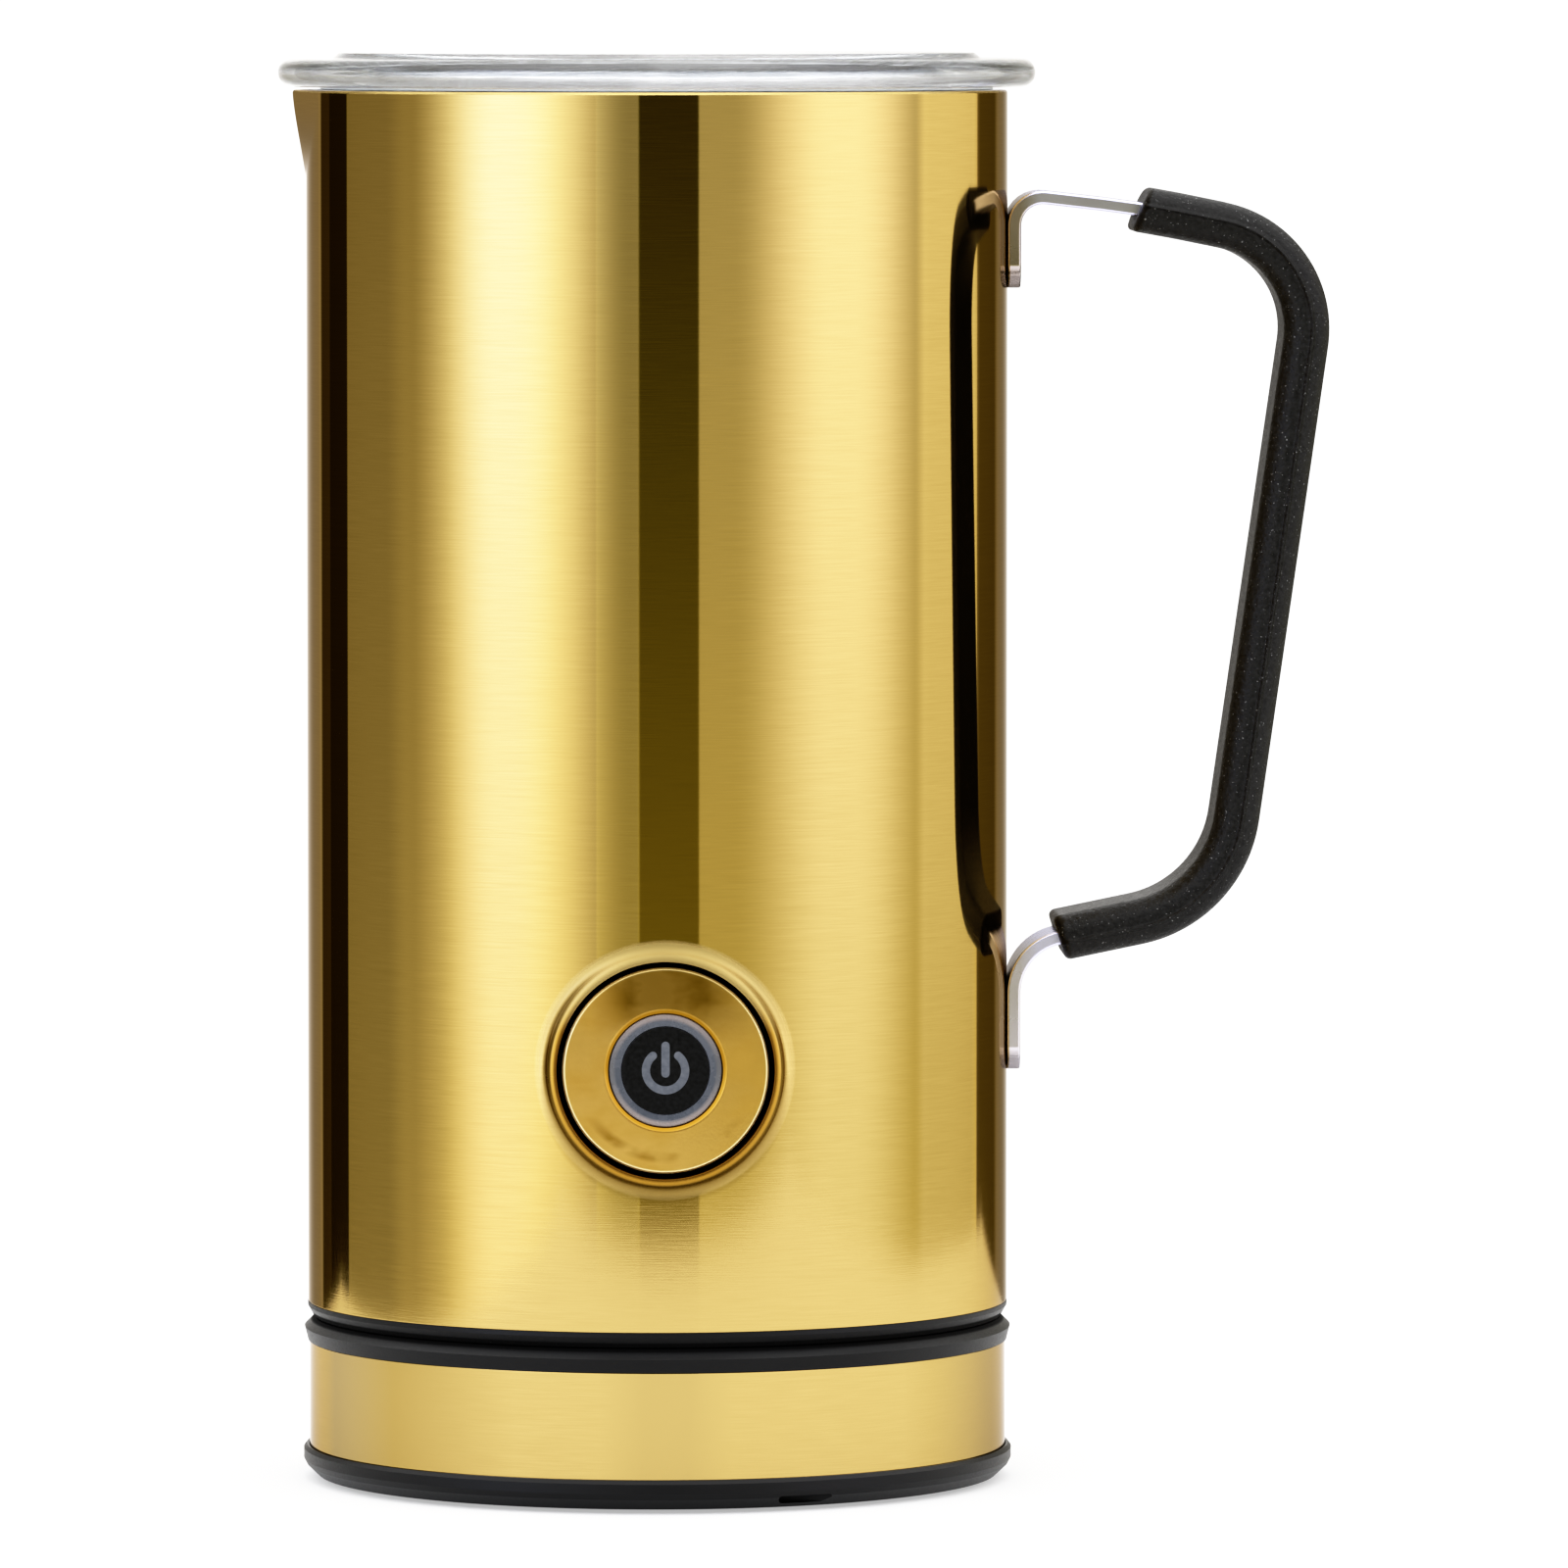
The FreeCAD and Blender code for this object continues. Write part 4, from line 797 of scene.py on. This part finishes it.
piece(band_mesh(), "base", "gold_steel", band_gold, "base_band")

# ------ push button

cap_back, cap_foot = cap_front - 1.6, cap_front - 7.2
cap_profile = [
    (window_radius, cap_back, 0.05),
    (cap_radius - 0.8, cap_back, 0.2),
    (cap_radius - 0.8, cap_foot, 0.1),
    (cap_radius, cap_foot, 0.1),
    (cap_radius, cap_front - 0.32, 0.12),
    (cap_radius - 0.3, cap_front - 0.02, 0.15),
    (window_radius + 0.6, cap_front, 0.5),
    (window_radius + 0.12, cap_front - 0.28, 0.12),
    (window_radius, cap_front - 0.6, 0.1),
]
piece(
    lathe("button_face", cap_profile, 192, place=face_front),
    "button", "gold_steel", gold_button, "button_cap",
)
guide_front = cap_front - 0.3
guide_profile = [
    (disc_radius, guide_front - 2.0, 0.05),
    (window_radius, guide_front - 2.0, 0.05),
    (window_radius, guide_front - 0.12, 0.3),
    (6.7, guide_front + 0.02, 0.6),
    (disc_radius, guide_front - 0.04, 0.1),
]
piece(
    lathe("button_guide", guide_profile, place=face_front),
    "button", "light_guide", guide, "button_light_ring",
)
disc_profile = [
    (0, disc_front - 2.0),
    (disc_radius - 0.02, disc_front - 2.0, 0.05),
    (disc_radius - 0.02, disc_front, 0.12),
    (0, disc_front),
]
piece(
    lathe("button_centre", disc_profile, 128, closed=False, place=face_front),
    "button", "black_button", disc_black, "button_disc",
)


def arc(x, z, radius, start, end, steps):
    """Points along an arc, from one angle in degrees to another."""
    angles = [math.radians(start + (end - start) * k / steps) for k in range(steps + 1)]
    return [(x + radius * math.cos(a), z + radius * math.sin(a)) for a in angles]


def icon_mesh():
    """The power symbol: a bar with round ends and an open ring, a hair proud of the disc."""
    half, low, high = 0.56, -0.35, 3.3
    bar = arc(0, high, half, 0, 180, 12) + arc(0, low, half, 180, 360, 12)
    middle, half, start, end = 2.6, 0.55, 130, 410
    (start_x, start_z), (end_x, end_z) = arc(0, 0, middle, start, end, 1)
    ring = arc(0, 0, middle + half, start, end, 60)
    ring += arc(end_x, end_z, half, end, end + 180, 12)[1:-1]
    ring += arc(0, 0, middle - half, end, start, 60)
    ring += arc(start_x, start_z, half, start + 180, start + 360, 12)[1:-1]
    verts, faces = [], []
    for shape in (bar, ring):
        base = len(verts)
        count = len(shape)
        for depth in (disc_front - 0.3, disc_front + 0.02):
            verts += [(x, -depth, button_height + z) for x, z in shape]
        faces.append(tuple(range(base + count, base + 2 * count)))
        faces.append(tuple(reversed(range(base, base + count))))
        for k in range(count):
            m = (k + 1) % count
            faces.append((base + k, base + m, base + count + m, base + count + k))
    return add_mesh("button_icon", verts, faces, smooth=False)


piece(icon_mesh(), "button", "icon_print", icon_grey, "power_icon")

# ------ lid

lid_foot, lid_top, lid_radius = (round(v, 2) for v in (lid_low[2], lid_high[2], lid_high[0]))
rim_low, rim_high = lid_foot + 6.0, lid_top - 0.8
lid_profile = [
    (0, lid_top - 2.2),
    (39.6, lid_top - 2.2, 0.8),
    (39.6, lid_foot, 0.4),
    (41.6, lid_foot, 0.4),
    (41.6, rim_low, 0.5),
    (lid_radius, rim_low, 1.86),
    (lid_radius, rim_high, 1.86),
    (43.9, rim_high, 0.6),
    (43.0, lid_top, 0.5),
    (0, lid_top),
]
piece(lathe("lid_clear", lid_profile, 256, closed=False, arc_step=8), "lid", "clear_plastic", clear, "lid")


# ------ handle

# the handle's middle line in the XZ plane: x, z and the bend's radius
ROUTE = [
    (48.2, 161.6),
    (48.2, 174.3, 3.8),
    (65.5, 172.3, 120.0),
    (89.5, 167.4, 14.3),
    (76.7, 78.2, 16.9),
    (48.2, 72.3, 7.7),
    (48.2, 55.6),
]


STATION_STEP = 0.8
TANGENT_REACH = 0.4  # half the length over which a tangent is measured


def route_line():
    """Points along the handle's middle line, evenly filled in, and how far along each one is."""
    points, _ = outline(ROUTE, closed=False, arc_step=2.5)
    filled = [points[0]]
    for a, b in zip(points[:-1], points[1:]):
        pieces = max(1, int(math.ceil(np.linalg.norm(b - a) / STATION_STEP)))
        filled += [a + (b - a) * k / pieces for k in range(1, pieces + 1)]
    points = np.array(filled)
    keep = np.concatenate([[True], np.linalg.norm(np.diff(points, axis=0), axis=1) > 1e-4])
    points = points[keep]
    reach = np.concatenate([[0], np.cumsum(np.linalg.norm(np.diff(points, axis=0), axis=1))])
    return points, reach


line_points, line_reach = route_line()


def on_route(distance):
    """Point and tangent of the middle line at a distance along it."""
    def at(reach):
        return np.array([np.interp(reach, line_reach, line_points[:, i]) for i in (0, 1)])

    x, z = at(distance)
    dx, dz = at(distance + TANGENT_REACH) - at(distance - TANGENT_REACH)
    length = math.hypot(dx, dz)
    return x, z, dx / length, dz / length


def sweep(name, sections):
    """A closed mesh through sections of equal point count, given as points and normals."""
    verts = np.concatenate([s[0] for s in sections])
    normals = np.concatenate([s[1] for s in sections])
    count = len(sections[0][0])
    faces = []
    for low in range(0, count * (len(sections) - 1), count):
        for i in range(count):
            k = (i + 1) % count
            faces.append((low + i, low + k, low + count + k, low + count + i))
    for j, flip in ((0, True), (len(sections) - 1, False)):
        ring = verts[j * count:(j + 1) * count]
        across = np.cross(ring[count // 3] - ring[0], ring[2 * count // 3] - ring[0])
        across = across / np.linalg.norm(across) * (-1 if flip else 1)
        order = list(range(len(verts), len(verts) + count))
        faces.append(tuple(reversed(order)) if flip else tuple(order))
        verts = np.concatenate([verts, ring])
        normals = np.concatenate([normals, np.tile(across, (count, 1))])
    return add_mesh(name, verts, faces, normals)


RIDGE_PLACE, RIDGE_WIDTH = -0.65, 0.26
RIDGE_CONTRAST = 6  # how much steeper the ridge's normals are than its slope


def section(distance, half_thick, half_wide, rounding, steps, shear=0.0, ridge=0.0, lean=(0.0, 0.0)):
    """A rounded rectangle across the route; lean tips its broad and narrow sides' normals at an end."""
    rounding = min(rounding, half_thick * 0.999)
    shape, normals = outline([
        (half_thick, -half_wide, rounding),
        (half_thick, half_wide, rounding),
        (-half_thick, half_wide, rounding),
        (-half_thick, -half_wide, rounding),
    ], True, 90 / steps)
    points, directions = [], []
    for (n, y), (nn, ny) in zip(shape, normals):
        if ridge:
            away = (n - RIDGE_PLACE) / RIDGE_WIDTH
            height = ridge * math.exp(-away ** 2)
            slope = RIDGE_CONTRAST * away / RIDGE_WIDTH * height * ny
            n, y = n + nn * height, y + ny * height
            nn, ny = nn + slope * ny, ny - slope * nn
        x, z, tx, tz = on_route(distance + shear * n)
        points.append((x + tz * n, y, z - tx * n))
        along = nn ** 2 * math.sin(lean[0]) + ny ** 2 * math.sin(lean[1])
        nn, ny = nn * math.cos(lean[0]), ny * math.cos(lean[1])
        directions.append((tz * nn + tx * along, ny, -tx * nn + tz * along))
    return np.array(points), np.array(directions)


def end_inset(distance, radius):
    """How much a rounded end draws a half-width in, this far from the end."""
    if distance >= radius:
        return 0.0
    return radius - math.sqrt(max(0.0, radius ** 2 - (radius - distance) ** 2))


def end_lean(before, after, radius):
    """How far a rounded end tips the normals, from the distances to the start and the finish."""
    end = min(before, after)
    return math.copysign(math.acos(end / radius), before - after) if end < radius else 0.0


def stations(start, finish, near, gap):
    """Distances along the route, with the near ones from both ends and even ones between them."""
    middle = np.arange(start + gap, finish - gap + STATION_STEP / 2, STATION_STEP)
    return [start + d for d in near] + list(middle) + [finish - d for d in reversed(near)]


def strap_mesh():
    """The steel strap: a flat bar with rounded tabs at its ends."""
    total = line_reach[-1]
    tab_round, edge_round = 3.2, 0.22
    near = [0.0, 0.02, 0.06, 0.12, 0.2, 0.32, 0.5, 0.75, 1.05, 1.4, 1.9, 2.5, tab_round]
    sections = []
    for s in stations(0.0, total, near, 4.0):
        end = min(s, total - s)
        half_wide = 6.0 - end_inset(end, tab_round) * 0.98
        half_thick = 0.9 - end_inset(end, edge_round)
        lean = (end_lean(s, total - s, edge_round), end_lean(s, total - s, tab_round))
        sections.append(section(s, half_thick, half_wide, 0.34, 8, lean=lean))
    return sweep("strap", sections)


piece(strap_mesh(), "jug", "polished_steel", strap_steel, "handle_strap")

# two points (x, z) on each slanted end of the sleeve
SLEEVE_ENDS = (((64.2, 170.0), (66.2, 174.7)), ((53.3, 76.8), (55.3, 70.4)))


def crossing(first, second):
    """Where a slanted line crosses the route: the distance along it and the shear per mm."""
    first, second = np.array(first), np.array(second)
    along = unit2(second - first)
    normal = np.array([along[1], -along[0]])
    sides = (line_points - first) @ normal
    hits = [i for i in range(len(sides) - 1) if sides[i] * sides[i + 1] <= 0]
    hits = [i for i in hits if np.linalg.norm(line_points[i] - (first + second) / 2) < 6]
    i = hits[0]
    t = sides[i] / (sides[i] - sides[i + 1])
    distance = line_reach[i] + t * (line_reach[i + 1] - line_reach[i])
    _, _, tx, tz = on_route(distance)
    tangential = along[0] * tx + along[1] * tz
    inward = along[0] * tz - along[1] * tx
    return distance, tangential / inward


def sleeve_mesh():
    """The silicone sleeve, cut at a slant at both ends, with a moulding line along its two sides."""
    start, start_shear = crossing(*SLEEVE_ENDS[0])
    finish, finish_shear = crossing(*SLEEVE_ENDS[1])
    end_round, fade, ridge = 0.9, 12, 0.14
    sections = []
    for s in stations(start, finish, [0.0, 0.03, 0.1, 0.2, 0.35, 0.55, 0.8, 1.2], 2.0):
        inset = end_inset(min(s - start, finish - s), end_round)
        shear = start_shear * max(0.0, 1 - (s - start) / fade)
        shear += finish_shear * max(0.0, 1 - (finish - s) / fade)
        lean = (end_lean(s - start, finish - s, end_round),) * 2
        sections.append(section(s, 3.1 - inset, 8.9 - inset, 2.95 - inset * 0.8, 34, shear, ridge, lean))
    return sweep("sleeve", sections)


piece(sleeve_mesh(), "jug", "silicone", silicone, "handle_sleeve")


# ------ whisk coil


def coil_mesh():
    """Three stretches of spring coil threaded on the whisk's hoop."""
    low, high = span("whisk_coil")
    height = (low[2] + high[2]) / 2
    wire, coil, hoop = 0.3, 1.48, 16.0
    turns, sides = 26, 8
    steps = turns * 14
    verts, faces, normals = [], [], []
    for i in range(3):
        start, sweep_angle = math.radians(120 * i + 6), math.radians(108)
        angles = [start + sweep_angle * k / steps for k in range(steps + 1)]
        centres = []
        for k, a in enumerate(angles):
            b = 2 * math.pi * turns * (k / steps)
            r = hoop + coil * math.cos(b)
            centres.append((r * math.cos(a), r * math.sin(a), height + coil * math.sin(b)))
        centres = np.array(centres)
        tangents = np.gradient(centres, axis=0)
        tangents /= np.linalg.norm(tangents, axis=1, keepdims=True)
        base = len(verts)
        for a, c, t in zip(angles, centres, tangents):
            out = c - np.array([hoop * math.cos(a), hoop * math.sin(a), height])
            out -= t * (out @ t)
            out /= np.linalg.norm(out)
            side = np.cross(t, out)
            for m in range(sides):
                angle = 2 * math.pi * m / sides
                n = out * math.cos(angle) + side * math.sin(angle)
                verts.append(tuple(c + n * wire))
                normals.append(tuple(n))
        for ring in range(base, base + steps * sides, sides):
            for m in range(sides):
                p = (m + 1) % sides
                faces.append((ring + m, ring + p, ring + sides + p, ring + sides + m))
        faces.append(tuple(reversed(range(base, base + sides))))
        faces.append(tuple(range(base + steps * sides, base + steps * sides + sides)))
    return add_mesh("whisk_spring", verts, faces, normals)


piece(coil_mesh(), "whisk", "polished_steel", wire_steel, "whisk_coil")

# ------ finishes of the CAD nodes

FINISHES = {
    "gold_steel": gold,
    "black_plastic": black,
    "black_button": disc_black,
    "inner_plastic": black_inside,
    "silicone": silicone,
    "foot_rubber": foot_rubber,
    "clear_plastic": clear,
    "clear_silicone": seal_clear,
    "light_guide": guide,
    "icon_print": icon_grey,
    "polished_steel": wire_steel,
    "cup_steel": cup_steel,
    "whisk_plastic": black_inside,
    "zinc_steel": zinc,
    "magnet": coloured("magnet", (0.35, 0.35, 0.36), (0.45, 0.45, 0.46), 900, 0.3, 1.0),
    "aluminium": coloured("aluminium", (0.6, 0.61, 0.62), (0.72, 0.73, 0.74), 700, 0.4, 1.0, 0.02),
    "contact_brass": coloured("contact_brass", (0.62, 0.44, 0.17), (0.74, 0.55, 0.25), 900, 0.28, 1.0),
    "circuit_board": coloured("circuit_board", (0.01, 0.08, 0.03), (0.02, 0.14, 0.05), 500, 0.35),
    "component": coloured("component", (0.02, 0.03, 0.06), (0.05, 0.06, 0.10), 500, 0.3),
    "led": coloured("led", (0.7, 0.7, 0.6), (0.8, 0.8, 0.72), 900, 0.25),
}
for entry in frame["record"]["subparts"]:
    node = frame["nodes"][entry["node"]]
    finish = FINISHES[entry["material_slot"]]
    if not node.data.materials:
        node.data.materials.append(finish)
    for material_slot in node.material_slots:
        material_slot.material = finish

# ------ stage, light and camera


# corners of the floor in metres; its edges are where the jug's wall mirrors them in the photo
FLOOR = [(-0.26, -0.425, 0), (0.365, -0.425, 0), (0.365, 0.09, 0), (0.325, 0.245, 0), (-0.26, 0.16, 0)]


def make_floor():
    """A plain matt white floor with a little light of its own."""
    mesh = bpy.data.meshes.new("floor")
    mesh.from_pydata(FLOOR, [], [tuple(range(len(FLOOR)))])
    made = bpy.data.objects.new("floor", mesh)
    bpy.context.scene.collection.objects.link(made)
    mesh.materials.append(Shader("floor_white").finish(
        Base_Color=(0.54, 0.54, 0.54, 1), Roughness=0.9, Specular_IOR_Level=0.0,
        Emission_Color=(1, 1, 1, 1), Emission_Strength=0.34,
    ))


make_floor()

# centre, half width, softness (degrees, 0 towards the camera, + to the right), colour at the
# horizon and colour below it
PANELS = [
    (-72.4, 51.3, 0.6, (0.29, 0.28, 0.23), (0.35, 0.345, 0.26)),
    (-14, 6.6, 0.6, (0.34, 0.36, 0.35), (0.48, 0.47, 0.26)),
    (-49.5, 5, 35.0, (1.70, 1.79, 2.00), (1.10, 1.05, 0.82)),
    (-53, 2, 20.0, (0.00, 0.10, 0.70), (0.06, 0.05, 0.30)),
    (-88, 3, 11.0, (0.085, 0.08, 0.05), (0.12, 0.11, 0.08)),
    (2.5, 9.6, 0.5, (0.00, 0.01, 0.01), (0.27, 0.25, 0.07)),
    (70.8, 58.2, 0.6, (0.51, 0.52, 0.49), (0.64, 0.61, 0.34)),
    (62, 4, 35.0, (1.30, 1.26, 1.50), (0.42, 0.47, 0.68)),
    (112, 14, 6.0, (0.60, 0.56, 0.50), (0.15, 0.17, 0.30)),
    (-143, 5, 1.0, (0.05, 0.045, 0.03), (0.05, 0.045, 0.03)),
    (-164, 17, 2.0, (0.42, 0.41, 0.40), (0.42, 0.41, 0.40)),
    (138, 9, 4.0, (0.13, 0.11, 0.06), (0.13, 0.11, 0.06)),
    (168, 17, 6.0, (0.38, 0.37, 0.34), (0.38, 0.37, 0.34)),
    (180, 4, 20.0, (0.50, 0.50, 0.52), (0.50, 0.50, 0.52)),
]
BELOW = (-0.2, -5.5)  # elevations in degrees between which a panel's colour changes to its lower one
OVERHEAD = (14, 58)  # elevations in degrees between which the panels give way to the ceiling
FILL, CEILING, BACKDROP = (0.05, 0.040, 0.013), (2.1, 2.1, 2.1), (1.02, 1.02, 1.02)


def make_world():
    """A studio of soft upright light panels under a white ceiling; the camera sees plain white."""
    world = bpy.data.worlds.new("studio")
    world.use_nodes = True
    sky = Nodes(world.node_tree)
    direction = sky.add("ShaderNodeTexCoord").outputs["Generated"]
    flat = sky.vector("MULTIPLY", direction, (1.0, 1.0, 0.0)).outputs[0]
    level = sky.vector("NORMALIZE", flat).outputs[0]
    height = sky.split(direction)[2]
    below = sky.spread(height, *[math.sin(math.radians(d)) for d in BELOW])
    total = FILL
    for centre, half, soft, upper, lower in PANELS:
        a = math.radians(centre)
        dot = sky.vector("DOT_PRODUCT", level, (math.sin(a), -math.cos(a), 0.0)).outputs["Value"]
        edges = (math.radians(half), math.radians(half + soft))
        window = sky.spread(sky.math("ARCCOSINE", dot), *edges, 1.0, 0.0, "SMOOTHSTEP")
        shade = sky.vector("SCALE", sky.blend(below, upper, lower))
        sky.put(shade.inputs["Scale"], window)
        total = sky.vector("ADD", total, shade.outputs[0]).outputs[0]
    edges = [math.sin(math.radians(d)) for d in OVERHEAD]
    overhead = sky.spread(height, *edges, shape="SMOOTHSTEP")
    seen = sky.add("ShaderNodeLightPath").outputs["Is Camera Ray"]
    light = sky.blend(seen, sky.blend(overhead, total, CEILING), BACKDROP)
    background = sky.add("ShaderNodeBackground", Color=light)
    sky.add("ShaderNodeOutputWorld", Surface=background.outputs[0])
    bpy.context.scene.world = world


make_world()

CAMERA_DISTANCE, CAMERA_HEIGHT = 1.794, 0.2038  # metres, from the jug's axis and from the floor
CAMERA_TURN = math.radians(1.29)  # the camera stands this far round to the left of the button
CAMERA_SHIFT, CAMERA_TILT = 0.0096, 0.0610  # its aim, right of the axis and down


def make_camera():
    data = bpy.data.cameras.new("camera")
    data.lens = 304.0
    data.sensor_width = 36.0
    data.clip_start = 0.05
    data.clip_end = 50
    made = bpy.data.objects.new("camera", data)
    bpy.context.scene.collection.objects.link(made)
    x, y = -CAMERA_DISTANCE * math.sin(CAMERA_TURN), -CAMERA_DISTANCE * math.cos(CAMERA_TURN)
    made.location = (x, y, CAMERA_HEIGHT)
    heading, level = CAMERA_TURN + CAMERA_SHIFT, math.cos(CAMERA_TILT)
    look = Vector((math.sin(heading) * level, math.cos(heading) * level, -math.sin(CAMERA_TILT)))
    made.rotation_mode = "QUATERNION"
    made.rotation_quaternion = look.to_track_quat("-Z", "Y")
    bpy.context.scene.camera = made


make_camera()

TONE = (
    (0.02, 0.006), (0.05, 0.030), (0.1, 0.082), (0.2, 0.22),
    (0.35, 0.45), (0.5, 0.66), (0.7, 0.87), (0.85, 0.96),
)


def make_tone():
    """A gentle contrast curve, the same for red, green and blue, as a camera's picture style has."""
    view = bpy.context.scene.view_settings
    view.view_transform = "Standard"
    view.use_curve_mapping = True
    curve = view.curve_mapping.curves[3]
    for x, y in TONE:
        curve.points.new(x, y)
    view.curve_mapping.update()


make_tone()
